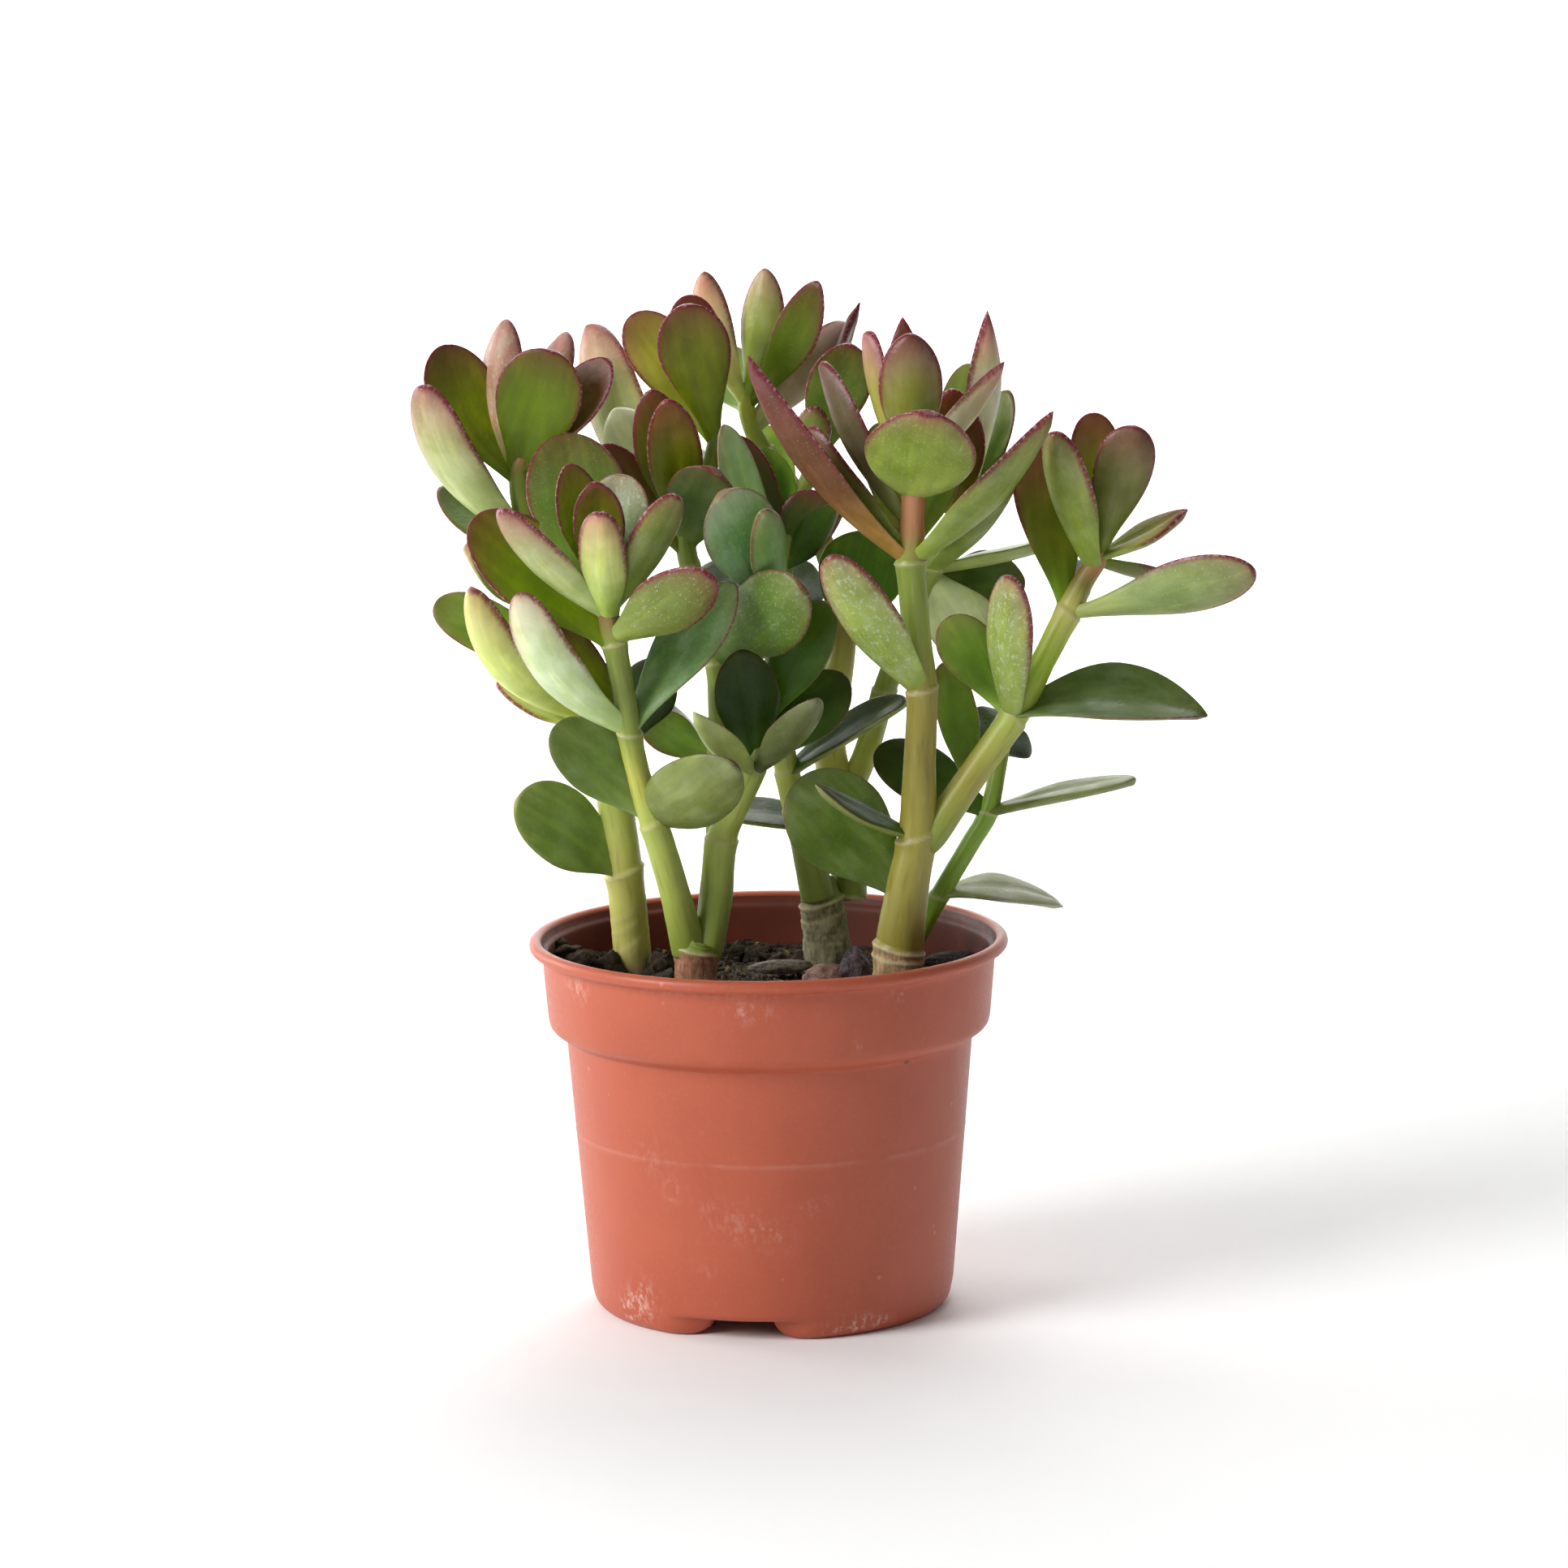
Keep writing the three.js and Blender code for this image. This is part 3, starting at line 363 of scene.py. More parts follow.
# ---- finishes ----
class Finish:
    """A surface finish under construction: a call adds a node or a few and gives the last
    one's output, for the next call or for the shader's own sockets."""

    def __init__(self, name, roughness, **gloss):
        self.material = bpy.data.materials.new(name)
        self.material.use_nodes = True
        self.nodes = self.material.node_tree.nodes
        self.links = self.material.node_tree.links
        self.shader = self.nodes["Principled BSDF"]
        self.set(self.shader, {"Roughness": roughness, **gloss})

    def set(self, node, values):
        """Fills a node's sockets, each with a number, a colour or another output."""
        for socket, value in values.items():
            if isinstance(value, bpy.types.NodeSocket):
                self.links.new(value, node.inputs[socket])
            else:
                node.inputs[socket].default_value = value

    def add(self, kind, values=None, give=0, **settings):
        """One node of a kind, with its sockets and settings filled."""
        node = self.nodes.new("ShaderNode" + kind)
        for name, value in settings.items():
            setattr(node, name, value)
        self.set(node, values or {})
        return node.outputs[give]

    def paint(self, **values):
        """Fills the shader's own sockets."""
        self.set(self.shader, {key.replace("_", " "): value for key, value in values.items()})

    def value(self, name):
        """The piece's value per point of that name."""
        return self.add("Attribute", give="Fac", attribute_name=name)

    def colour(self, name):
        """The piece's colour per point of that name."""
        return self.add("Attribute", give="Color", attribute_name=name)

    def place(self):
        """Where a point is, in metres."""
        return self.add("TexCoord", give="Object")

    def flat(self, name, scale=(1, 1, 1)):
        """A piece's own flat map in mm, finer by the scale."""
        source = self.add("UVMap", uv_map=name)
        return self.add("Mapping", {"Vector": source, "Scale": scale})

    def noise(self, vector, scale, detail=3.0, rough=0.55):
        """Clouds between 0 and 1, mostly near the half."""
        return self.add("TexNoise", {"Vector": vector, "Scale": scale, "Detail": detail,
                                     "Roughness": rough}, give="Fac")

    def grain(self, name, across, along, detail=3.0, rough=0.55):
        """Clouds over a flat map, with so many to the mm across and along it."""
        return self.noise(self.flat(name, (across, along, 1)), 1.0, detail, rough)

    def spots(self, vector, scale, share, radius):
        """1 in small round spots, one in each chosen cell of a random grid."""
        node = self.nodes.new("ShaderNodeTexVoronoi")
        self.set(node, {"Vector": vector, "Scale": scale})
        pick = self.add("SeparateColor", {"Color": node.outputs["Color"]}, give="Red")
        chosen = self.step(pick, 1 - share - 0.02, 1 - share)
        near = self.step(node.outputs["Distance"], radius, radius * 0.45)
        return self.times(chosen, near)

    def step(self, value, low, high, to_low=0.0, to_high=1.0):
        """A smooth step from to_low to to_high as the value goes from low to high."""
        return self.add("MapRange", {"Value": value, "From Min": low, "From Max": high,
                                     "To Min": to_low, "To Max": to_high},
                        interpolation_type="SMOOTHSTEP")

    def maths(self, operation, a, b):
        """Two values taken together by an operation."""
        return self.add("Math", {0: a, 1: b}, operation=operation)

    def times(self, a, b):
        """a x b"""
        return self.maths("MULTIPLY", a, b)

    def plus(self, a, b):
        """a + b"""
        return self.maths("ADD", a, b)

    def mix(self, share, a, b, blend="MIX"):
        """Colour a with a share of colour b over it, or multiplied by it."""
        node = self.nodes.new("ShaderNodeMix")
        node.data_type = "RGBA"
        node.blend_type = blend
        self.set(node, {"Factor": share})
        for socket, value in (("A", a), ("B", b)):
            entry = next(s for s in node.inputs if s.name == socket and s.type == "RGBA")
            if isinstance(value, bpy.types.NodeSocket):
                self.links.new(value, entry)
            else:
                entry.default_value = (*value, 1)
        return next(s for s in node.outputs if s.type == "RGBA")

    def bump(self, height, depth_mm, strength, below=None):
        """Relief so many mm deep, on top of the relief below."""
        values = {"Height": height, "Distance": depth_mm * MM, "Strength": strength}
        if below is not None:
            values["Normal"] = below
        return self.add("Bump", values)


DARKER = daylight(228, 232, 208)
LIGHTER = (1.24, 1.22, 1.1)
MARGIN = daylight(116, 30, 48)
# painted highlight: the pale colour of glints along leaf margins
RIM_GLINT = daylight(212, 176, 186)
BLOOM = daylight(208, 218, 192)


def leaf_finish():
    """Fleshy leaf skin: its own colour per point, softly uneven and faintly streaked
    along the leaf, with a glossier crimson margin that frays inwards and carries painted
    pale glints in places, pale flecks and blotches, waxy bloom and a fine pebbled grain."""
    f = Finish("leaf_skin", 0.44, **{"Subsurface Weight": 0.05, "Subsurface Scale": 0.0012,
                                     "Subsurface Radius": (0.9, 1.0, 0.3),
                                     "Specular IOR Level": 0.3})
    place = f.place()
    blade = f.flat("blade")
    broad = f.noise(place, 120, 2.0)
    fine = f.noise(place, 1500, 2.0)
    colour = f.mix(f.step(broad, 0.35, 0.68), f.colour("tint"), DARKER, "MULTIPLY")
    streaks = f.grain("blade", 0.35, 0.05, 2.0)
    colour = f.mix(f.step(streaks, 0.42, 0.7), colour, LIGHTER, "MULTIPLY")
    clouds = f.grain("blade", 0.22, 0.12)
    clouded = f.times(f.step(clouds, 0.42, 0.72), f.value("bloom"))
    colour = f.mix(f.times(clouded, 0.32), colour, BLOOM)
    blotch = f.grain("blade", 1.0, 0.55, 4.0, 0.6)
    blotched = f.times(f.step(blotch, 0.54, 0.64), f.times(f.value("bloom"), f.value("fleck")))
    colour = f.mix(f.times(blotched, 0.75), colour, BLOOM)
    dashes = f.spots(f.flat("blade", (0.75, 1.5, 1)), 1.0, 0.45, 0.22)
    dots = f.spots(f.flat("blade", (1.7, 1.6, 1)), 1.0, 0.25, 0.24)
    flecks = f.times(f.plus(dashes, dots), f.step(broad, 0.24, 0.42))
    colour = f.mix(f.times(f.times(flecks, f.value("fleck")), 0.7), colour, BLOOM)
    frayed = f.grain("blade", 1.6, 0.9)
    reach = f.plus(f.value("edge"), f.step(frayed, 0.3, 0.7, -0.18, 0.18))
    line = f.times(f.step(reach, 1.15, 0.15), f.value("flush"))
    colour = f.mix(f.times(line, 0.85), colour, MARGIN)
    # painted highlight: pale glints here and there along the margin, where its ridge would catch
    # light
    rubbed = f.times(f.step(f.value("edge"), 0.4, 0.1), f.step(frayed, 0.5, 0.64))
    rubbed = f.times(rubbed, f.value("flush"))
    colour = f.mix(f.times(rubbed, 0.5), colour, RIM_GLINT)
    grain = f.bump(fine, 0.05, 0.5)
    pebble = f.bump(f.noise(blade, 0.9, 2.0), 0.2, 0.55, below=grain)
    f.paint(Base_Color=colour, Normal=pebble,
            Roughness=f.plus(f.step(broad, 0.3, 0.7, 0.34, 0.46), f.times(line, -0.12)))
    return f.material


def stem_finish():
    """Stem skin: its own colour per point with soft streaks along the stem, pale scars
    at the rings, and grooved corky bark where the stem is old."""
    f = Finish("stem_skin", 0.5)
    place = f.place()
    bark = f.value("bark")
    streaks = f.grain("skin", 0.7, 0.07, 3.0, 0.5)
    fine = f.noise(place, 900, 4.0, 0.65)
    skin_colour = f.colour("tint")
    browner = f.step(streaks, 0.5, 0.75, 0.0, 0.6)
    colour = f.mix(browner, skin_colour, daylight(206, 190, 150), "MULTIPLY")
    colour = f.mix(f.step(streaks, 0.42, 0.25, 0.0, 0.16), colour, daylight(206, 206, 160))
    grooves = f.grain("skin", 1.1, 0.3, 4.0, 0.6)
    grooved = f.step(grooves, 0.64, 0.34)
    cork = f.mix(grooved, skin_colour, daylight(190, 176, 166), "MULTIPLY")
    cork = f.mix(f.step(fine, 0.56, 0.70, 0.0, 0.55), cork, daylight(176, 168, 146))
    moss = f.step(f.noise(place, 260, 2.0), 0.5, 0.68, 0.0, 0.35)
    cork = f.mix(moss, cork, daylight(92, 100, 56))
    colour = f.mix(bark, colour, cork)
    scar = f.times(f.value("scar"), f.step(fine, 0.25, 0.55, 0.5, 1.0))
    colour = f.mix(f.times(scar, 0.8), colour, daylight(190, 178, 136))
    rough = f.bump(f.times(grooves, bark), 0.5, 0.6)
    grain = f.bump(streaks, 0.15, 0.3, below=rough)
    f.paint(Base_Color=colour, Normal=grain, Roughness=f.step(bark, 0.0, 1.0, 0.44, 0.85))
    return f.material


def pot_finish():
    """Moulded terracotta-coloured plastic: satin, faintly cloudy, a paler mould seam,
    whitish scuffs where it was rubbed, a few specks, and painted shade inside the lip."""
    f = Finish("pot_plastic", 0.42, **{"Specular IOR Level": 0.4})
    place = f.place()
    cloudy = f.noise(place, 28, 3.0)
    fine = f.noise(place, 900, 3.0, 0.6)
    colour = f.mix(f.step(cloudy, 0.3, 0.7), daylight(172, 82, 56), daylight(180, 88, 61))
    colour = f.mix(f.times(f.step(fine, 0.45, 0.8), 0.15), colour, daylight(200, 122, 96))
    chalk = daylight(222, 186, 174)
    smear = f.noise(f.add("Mapping", {"Vector": place, "Scale": (1, 1, 0.6)}), 560, 5.0, 0.72)
    worn = f.maths("MAXIMUM", f.step(smear, 0.48, 0.61, 0.0, 0.8), f.spots(place, 430, 0.4, 0.34))
    rubbed = f.times(f.value("scuff"), worn)
    specks = f.times(f.spots(place, 210, 0.05, 0.16), f.value("speckled"))
    rubbed = f.maths("MAXIMUM", rubbed, f.times(specks, 0.5))
    colour = f.mix(f.times(rubbed, 0.4), colour, chalk)
    seam = f.times(f.value("seam"), f.step(f.noise(place, 130, 2.0), 0.32, 0.6))
    colour = f.mix(f.times(seam, 0.26), colour, chalk)
    dirt = f.times(f.spots(place, 60, 0.06, 0.07), f.value("speckled"))
    colour = f.mix(f.times(dirt, 0.8), colour, daylight(52, 30, 24))
    # painted shade: the inside below the lip darkened towards deep maroon, and made rougher
    inside_shade_share = f.step(cloudy, 0.3, 0.7, 0.78, 0.92)
    colour = f.mix(f.times(f.value("painted_inside_shade"), inside_shade_share), colour, daylight(70, 22, 15))
    grain = f.bump(f.noise(place, 1400, 2.0), 0.03, 0.35)
    swell = f.bump(cloudy, 0.6, 0.25, below=grain)
    f.paint(Base_Color=colour, Normal=swell,
            Roughness=f.plus(f.step(fine, 0.3, 0.7, 0.36, 0.48), f.times(f.value("painted_inside_shade"), 0.12)))
    return f.material


def crumb_finish(name, dark, mid, light, scale, rough):
    """Broken earth, bark or stone: three shades of one colour in grains, each lump
    shifted by its own tint, with a coarse and a fine roughness."""
    f = Finish(name, rough)
    place = f.place()
    coarse = f.noise(place, scale, 5.0, 0.7)
    fine = f.noise(place, scale * 5, 3.0, 0.6)
    colour = f.mix(f.step(coarse, 0.35, 0.62), daylight(*dark), daylight(*mid))
    colour = f.mix(f.step(fine, 0.56, 0.74), colour, daylight(*light))
    colour = f.mix(1.0, colour, f.colour("tint"), "MULTIPLY")
    lumps = f.bump(coarse, 1.2, 0.7)
    grains = f.bump(fine, 0.4, 0.7, below=lumps)
    f.paint(Base_Color=colour, Normal=grains)
    return f.material


# ---- leaf ----
LEAF_RINGS = 30
LEAF_AROUND = 28
HALF_THICKNESS = 1.65  # mm, at the middle of a leaf
TOP_SHARE, UNDER_SHARE = 0.85, 1.1  # of that, above and below
LENS_POWER = 1.25  # more than 1 thins a leaf towards its margins
GROOVE_DEPTH, GROOVE_WIDTH = 0.35, 0.16  # mm, and share of the half width
WAVINESS, RIPPLE, TWIST = 0.018, 0.25, 0.2  # share of the width, mm, mm
PATTERN_SHIFT = 97.0  # mm, so that no two leaves have the same flecks
LIGHTEST = 0.8  # that a leaf's tint may be
FORMS = {
    # share of the length at which the leaf is widest, width at the root as a share of
    # the full width, then the powers that shape its swelling, its closing and its tip
    "oval": (0.6, 0.3, 1, 2.1, 0.6),
    "oblong": (0.56, 0.42, 0.8, 2.8, 0.52),
    "paddle": (0.7, 0.22, 1, 2.2, 0.52),
    "round": (0.62, 0.28, 0.9, 2.1, 0.5),
    "lance": (0.5, 0.34, 0.9, 1.7, 0.88),
    "disc": (0.5, 0.2, 0.32, 2, 0.5),
}

# colours at the root, the middle and the tip of a face; how strongly its margin is
# lined with crimson, how far maroon spreads in from margin and tip, how flecked and
# how bloomed it is
# and 'dark' is a green darkened as painted shade for leaves deep in the plant
# painted light: 'mint' runs from painted shade at its root to a painted sheen at its tip,
LEAF_TINTS = {row[0]: row[1:] for row in written("""
    deep  110 130 24  98 120 0  94 92 8  1 0.5 0 0
    olive  126 144 30  116 128 0  114 100 26  1 0.62 0.05 0
    gold  146 156 60  142 142 44  138 118 50  1 0.65 0.05 0.1
    maroon  112 122 30  106 82 12  108 62 34  1 0.6 0 0
    umber  86 106 26  78 86 6  100 68 30  1 0.5 0 0
    green  124 150 60  96 126 38  98 118 44  0.7 0.3 0.1 0.1
    fresh  138 162 86  116 142 68  114 134 66  0.2 0.1 0.1 0.2
    dark  66 94 24  44 70 4  50 70 10  0.3 0.12 0.05 0.02
    edged  80 104 36  72 92 18  82 72 24  1 0.6 0.05 0.05
    jade  92 124 64  98 132 84  104 134 92  0.6 0.3 0.1 0.35
    mint  52 84 46  120 160 114  156 184 146  0.6 0.3 0.5 0.7
    frost  120 150 90  160 176 136  170 176 146  0.7 0.4 0.9 0.8
    yellow  186 196 74  176 172 6  184 180 40  0.7 0.1 0 0.05
    crimson  166 176 64  140 106 50  130 52 54  1 0.8 0 0.05
    cream  176 194 122  180 192 128  182 164 130  1 0.78 0.3 0.4
    flushed  176 194 122  186 194 132  190 150 130  1 0.8 0.3 0.4
    pearl  182 208 140  202 220 176  208 214 176  1 0.5 0.3 0.4
    lemon  172 188 60  202 216 120  206 206 126  1 0.5 0.2 0.3
    blond  140 160 60  150 164 70  186 160 124  0.9 0.3 0.05 0.5
    pink  172 166 100  166 118 88  192 144 142  0.9 0.4 0.35 0.6
    salmon  186 196 106  232 204 152  220 150 128  0.9 0.5 0.15 0.4
    ruddy  170 160 84  174 120 100  160 98 90  0.9 0.5 0.1 0.2
    speckled  164 184 90  140 160 64  134 150 62  1 0.7 0.9 0.12
    shaded  70 96 36  80 106 36  90 112 50  0.6 0.3 0.7 0.25
    bright  164 184 90  164 186 92  168 190 102  1 0.6 0.95 0.55
    grey  164 178 122  192 202 156  186 190 150  0.15 0 0.15 0.4
    ashen  140 152 92  150 162 94  150 158 106  0.1 0 0.1 0.25
    dove  150 156 116  152 154 130  148 150 124  0.05 0 0.1 0.3
    mauve  140 140 96  150 126 120  146 118 116  0.7 0.2 0.1 0.3
    brick  220 168 88  128 80 50  142 80 84  0.85 0.4 0.25 0.1
    plum  122 130 62  112 100 72  116 88 78  0.9 0.35 0.1 0.15
    dusky  126 140 60  120 122 60  122 84 68  0.9 0.4 0.1 0.15
    leaf  152 172 76  132 150 66  126 136 66  1 0.5 0.25 0.3
    plain  156 170 86  166 182 98  160 170 104  0.1 0 0.1 0.3
    rosy  158 172 74  158 156 70  192 150 132  1 1 0.05 0.15
    blush  176 188 120  180 176 138  128 82 78  1 0.7 0.05 0.4
    sage  120 150 90  98 134 74  104 136 78  0.7 0.3 0.2 0.4
    celery  176 186 110  140 158 98  136 150 94  1 0.45 0.5 0.15
    russet  104 134 30  98 106 10  140 88 56  1 0.5 0 0
    lilac  160 174 74  146 150 58  150 116 90  1 0.95 0.05 0.3
    sorrel  150 176 76  184 198 116  200 176 128  1 0.6 0.25 0.2
    fern  124 150 60  98 126 40  104 108 46  1 0.42 0.3 0.1
    moss  84 104 40  92 118 34  118 140 74  0.4 0.12 0.2 0.2
    pale  150 168 90  150 164 92  150 152 92  0.6 0.25 0.2 0.25
    """)}
MAROON = daylight(104, 46, 42)
ROSE = daylight(168, 98, 100)


def half_width(u, rows):
    """Half the width at a share u of the length: a neck that swells to the widest
    place and then closes, bluntly or to a point, by the leaf's form."""
    shapes = np.array([FORMS[row[FORM]] for row in rows])
    widest, neck, swell, fall, tip = (shapes[:, k][:, None, None] for k in range(5))
    rise = neck + (1 - neck) * ease(0, 1, u / widest) ** swell
    t = np.clip((u - widest) / (1 - widest), 0, 1)
    width = np.array([row[WIDTH] for row in rows])[:, None, None]
    return width / 2 * rise * np.clip(1 - t ** fall, 0, 1) ** tip


def leaf_ways(roots, tips, facing):
    """For each leaf its length and three ways square to each other: along it, the way
    its upper face looks, which is the way to the eye turned about the leaf, and the
    side."""
    span = tips - roots
    length = np.linalg.norm(span, axis=1, keepdims=True)
    along = span / length
    to_eye = EYE - (roots + tips) / 2
    to_eye = unit(to_eye - (to_eye * along).sum(1, keepdims=True) * along)
    turn = np.radians(facing)[:, None]
    face = to_eye * np.cos(turn) + np.cross(along, to_eye) * np.sin(turn)
    ways = [way[:, None, None, :] for way in (along, face, np.cross(along, face))]
    return length[..., None], ways


def leaf_blades(roots, rows):
    """All leaves of one stem. A point runs u along the leaf and turns around it: root
    + along x length x u + face x bow + side x bend + edgeways x half width x cos(turn)
    + out x (cup across the leaf + thickness x sin(turn)), thinner on top than below."""
    tips = seen([row[TIP] for row in rows])
    facing, bow, cup = np.array([row[ATTITUDE] for row in rows]).T[..., None, None]
    bend = np.array([row[BEND] for row in rows])[:, None, None]
    bow, cup, bend = bow / 100, cup / 100, bend / 100
    length, (along, face, side) = leaf_ways(roots, tips, facing[:, 0, 0])

    ring = np.linspace(0, np.pi, LEAF_RINGS + 2)[1:-1]
    u = ((1 - np.cos(ring)) / 2)[None, :, None]
    angle = np.linspace(0, 2 * np.pi, LEAF_AROUND, endpoint=False)[None, None, :]
    count = len(rows)
    phase = draw.uniform(0, 2 * np.pi, (3, count, 1, 1))
    half = half_width(u, rows)
    half = half * (1 + WAVINESS * np.sin(9 * u + phase[0]) * ease(0.1, 0.4, u))
    across = np.cos(angle) + 0 * u
    lens = np.sin(angle)
    lens = np.sign(lens) * np.abs(lens) ** LENS_POWER
    thick = HALF_THICKNESS * (0.75 + 0.25 * np.sin(np.pi * u)) * np.minimum(1, half / 2)
    thick = thick * np.where(lens > 0, TOP_SHARE, UNDER_SHARE)
    groove = -GROOVE_DEPTH * np.exp(-(across / GROOVE_WIDTH) ** 2) * (lens > 0)
    groove = groove * ease(0.0, 0.3, u) * ease(1, 0.7, u)
    ripple = RIPPLE * np.sin(7 * u + phase[1]) * across ** 2
    ripple = ripple + TWIST * np.sin(5 * u + phase[2]) * across
    lift = cup * half * 2 * (across ** 2 - 0.3) + thick * lens + groove + ripple * ease(0.15, 0.6, u)

    arching = face * bow[..., None] + side * bend[..., None]
    slope = unit(along + arching * (4 * (1 - 2 * u))[..., None])
    edgeways = unit(side - (side * slope).sum(-1, keepdims=True) * slope)
    out = np.cross(edgeways, slope)
    arch = arching * (length * 4 * u * (1 - u))[..., None]
    middle = roots[:, None, None, :] + along * (length * u)[..., None] + arch
    points = middle + edgeways * (half * across)[..., None] + out * lift[..., None]
    points = np.concatenate([points.reshape(count, -1, 3), np.stack([roots, tips], 1)], 1)

    def whole(values, at_root, at_tip):
        values = np.broadcast_to(values, (count, LEAF_RINGS, LEAF_AROUND)).reshape(count, -1)
        tail = np.stack([np.full(count, at_root), np.full(count, at_tip)], 1)
        return np.concatenate([values, tail], 1)

    share = whole(u, 0.0, 1.0)
    upper = whole(ease(-0.25, 0.25, np.sin(angle)), 0.5, 0.5)
    rim = whole(np.minimum(half * (1 - np.abs(across)), length * (1 - u)), 2.0, 0.0)
    pattern_along = length * u + PATTERN_SHIFT * np.arange(count)[:, None, None]
    return {"points": points, **leaf_colours(rows, share, upper, rim),
            "across": whole(half * across, 0.0, 0.0), "along": whole(pattern_along, 0.0, 0.0)}


def leaf_colours(rows, share, upper, rim):
    """The values that the leaf skin reads, from a point's share of the length, how far
    it is on the upper face, and its distance from the rim: the two faces' colours at
    root, middle and tip blend along the leaf, and maroon fades in from rim and tip."""
    tints, values = 0.0, 0.0
    low = ease(0.04, 0.46, share)[..., None]
    high = ease(0.55, 1.0, share)[..., None]
    for way, column in ((upper, UPPER), (1 - upper, UNDER)):
        finishes = np.array([LEAF_TINTS[row[column]] for row in rows])
        stops = np.array([[daylight(*row[k:k + 3]) for k in (0, 3, 6)] for row in finishes])
        shade = stops[:, None, 0] * (1 - low) + stops[:, None, 1] * low
        shade = shade * (1 - high) + stops[:, None, 2] * high
        tints = tints + shade * way[..., None]
        values = values + finishes[:, None, 9:] * way[..., None]
    tints *= 1 + draw.uniform(-0.05, 0.05, (len(rows), 1, 1))
    # painted light and shade: each leaf's colour scaled by its own factor
    tints *= np.array([(row + [1.0])[PAINTED_LIGHTNESS] for row in rows])[:, None, None]
    tints = np.minimum(tints, LIGHTEST)
    line, halo, fleck, bloom = np.moveaxis(values, -1, 0)
    spread = np.exp(-rim / (1.0 + 1.5 * halo)) * ease(0.3, 0.75, share)
    spread = np.clip(halo * (spread + 0.45 * ease(0.68, 1.0, share)), 0, 0.85)[..., None]
    pale = ease(0.1, 0.5, tints[..., 1:2])
    tints = tints * (1 - spread) + (MAROON * (1 - pale) + ROSE * pale) * spread
    return {
        "tint": tints, "flush": line * ease(0.25, 0.6, share),
        "fleck": fleck * ease(0.08, 0.3, share), "bloom": bloom,
        "edge": rim / (0.4 + 0.75 * line ** 2 * ease(0.2, 0.7, share)),
    }


def leafy_foliage(name, lines):
    """The leaves of one stem as one mesh, each root snapped to the nearest point on
    the middle lines of the stem's branches."""
    rows = written(LEAVES[name])
    wanted = seen([row[ROOT] for row in rows])
    gap = np.linalg.norm(wanted[:, None] - lines[None], axis=2)
    blades = leaf_blades(lines[gap.argmin(1)], rows)
    faces = skins(len(rows), LEAF_RINGS, LEAF_AROUND)
    piece = put_mesh("leaves_" + name, blades["points"].reshape(-1, 3), faces, LEAF_SKIN)
    put_values(piece, "tint", blades["tint"].reshape(-1, 3))
    for key in ("flush", "fleck", "bloom", "edge"):
        put_values(piece, key, blades[key].ravel())
    put_map(piece, "blade", blades["across"].ravel(), blades["along"].ravel())
    return piece


# ---- stem ----
BURIED = 16.0
STEM_AROUND = 32
RING_PITCH = 0.55  # mm between the rings of a finished stem
STEPS_PER_POINT = 8  # on a middle line, where leaves may root
SKIN_SPREAD = 12.0  # mm of skin pattern across half a stem
UNEVEN, CORK_UNEVEN = 0.012, 0.05  # share of the radius, and more of it where corky
TIP_CLOSES_AT = 0.985
SCAR_WIDTH = 0.42  # mm of paler skin on either side of a scar's ring

# painted light: 'dark' and 'lush' are greens made lighter for the middle stem, to make up for shade
# deep in the plant
STEM_TINTS = {
    "straw": (202, 200, 106), "khaki": (140, 130, 48), "lime": (168, 182, 82),
    "green": (136, 152, 60), "dark": (150, 144, 72), "moss": (112, 128, 48),
    "lush": (184, 192, 92), "clay": (158, 138, 98), "rosy": (190, 132, 92),
    "tan": (140, 128, 62), "wine": (134, 74, 62), "yellow": (180, 182, 74),
    "honey": (156, 148, 60), "leek": (184, 212, 64), "grass": (128, 164, 50),
}
# how far down the view each corky foot reaches up to, and its colour
BARK = {"left_front": (1172, (172, 118, 88)), "centre": (1106, (150, 148, 116)),
        "right": (1166, (176, 146, 104))}
NO_BARK = (VIEW_SIDE, (140, 130, 96))
BARK_FADE = 3  # down the view

# leaf scars of each path: a ring round the stem at that place down the view, how far
# it stands out in mm, and its slant
SCARS = {
    "left_back": [[(1073, 0.5, 0.25), (1117, 0.1, 0.6), (1133, 0.1, 0.6), (1156, 0.1, 0.6),
                   (895, 0.3, 0.2), (735, 0.3, 0.2), (665, 0.3, 0.2)]],
    "left_front": [[(1172, 0.5, -0.2)], [(1012, 0.3, 0.3), (903, 0.3, -0.2), (792, 0.5, 0.1)],
                   [(1034, 0.35, 0.1), (948, 0.3, 0.1)], [(815, 0.3, 0.2), (700, 0.3, 0.2)]],
    "centre": [[(1110, 0.6, 0.15), (1128, 0.1, 0.2)],
               [(994, 0.3, 0.2), (950, 0.3, 0.1), (745, 0.3, 0.1)],
               [(1106, 0.5, -0.3), (960, 0.2, 0.2), (850, 0.3, 0.2), (560, 0.3, 0.2)],
               [(850, 0.3, 0.2), (700, 0.3, 0.2)]],
    "right": [[(1168, 0.6, -0.15), (1180, 0.3, -0.1), (1030, 0.5, 0.45), (850, 0.4, 0.2),
               (692, 0.5, 0.1)],
              [(884, 0.3, -0.2), (755, 0.3, -0.2)]],
    "right_low": [[(1104, 0.2, 0.2), (1002, 0.25, 0.2), (925, 0.2, 0.2)]],
}


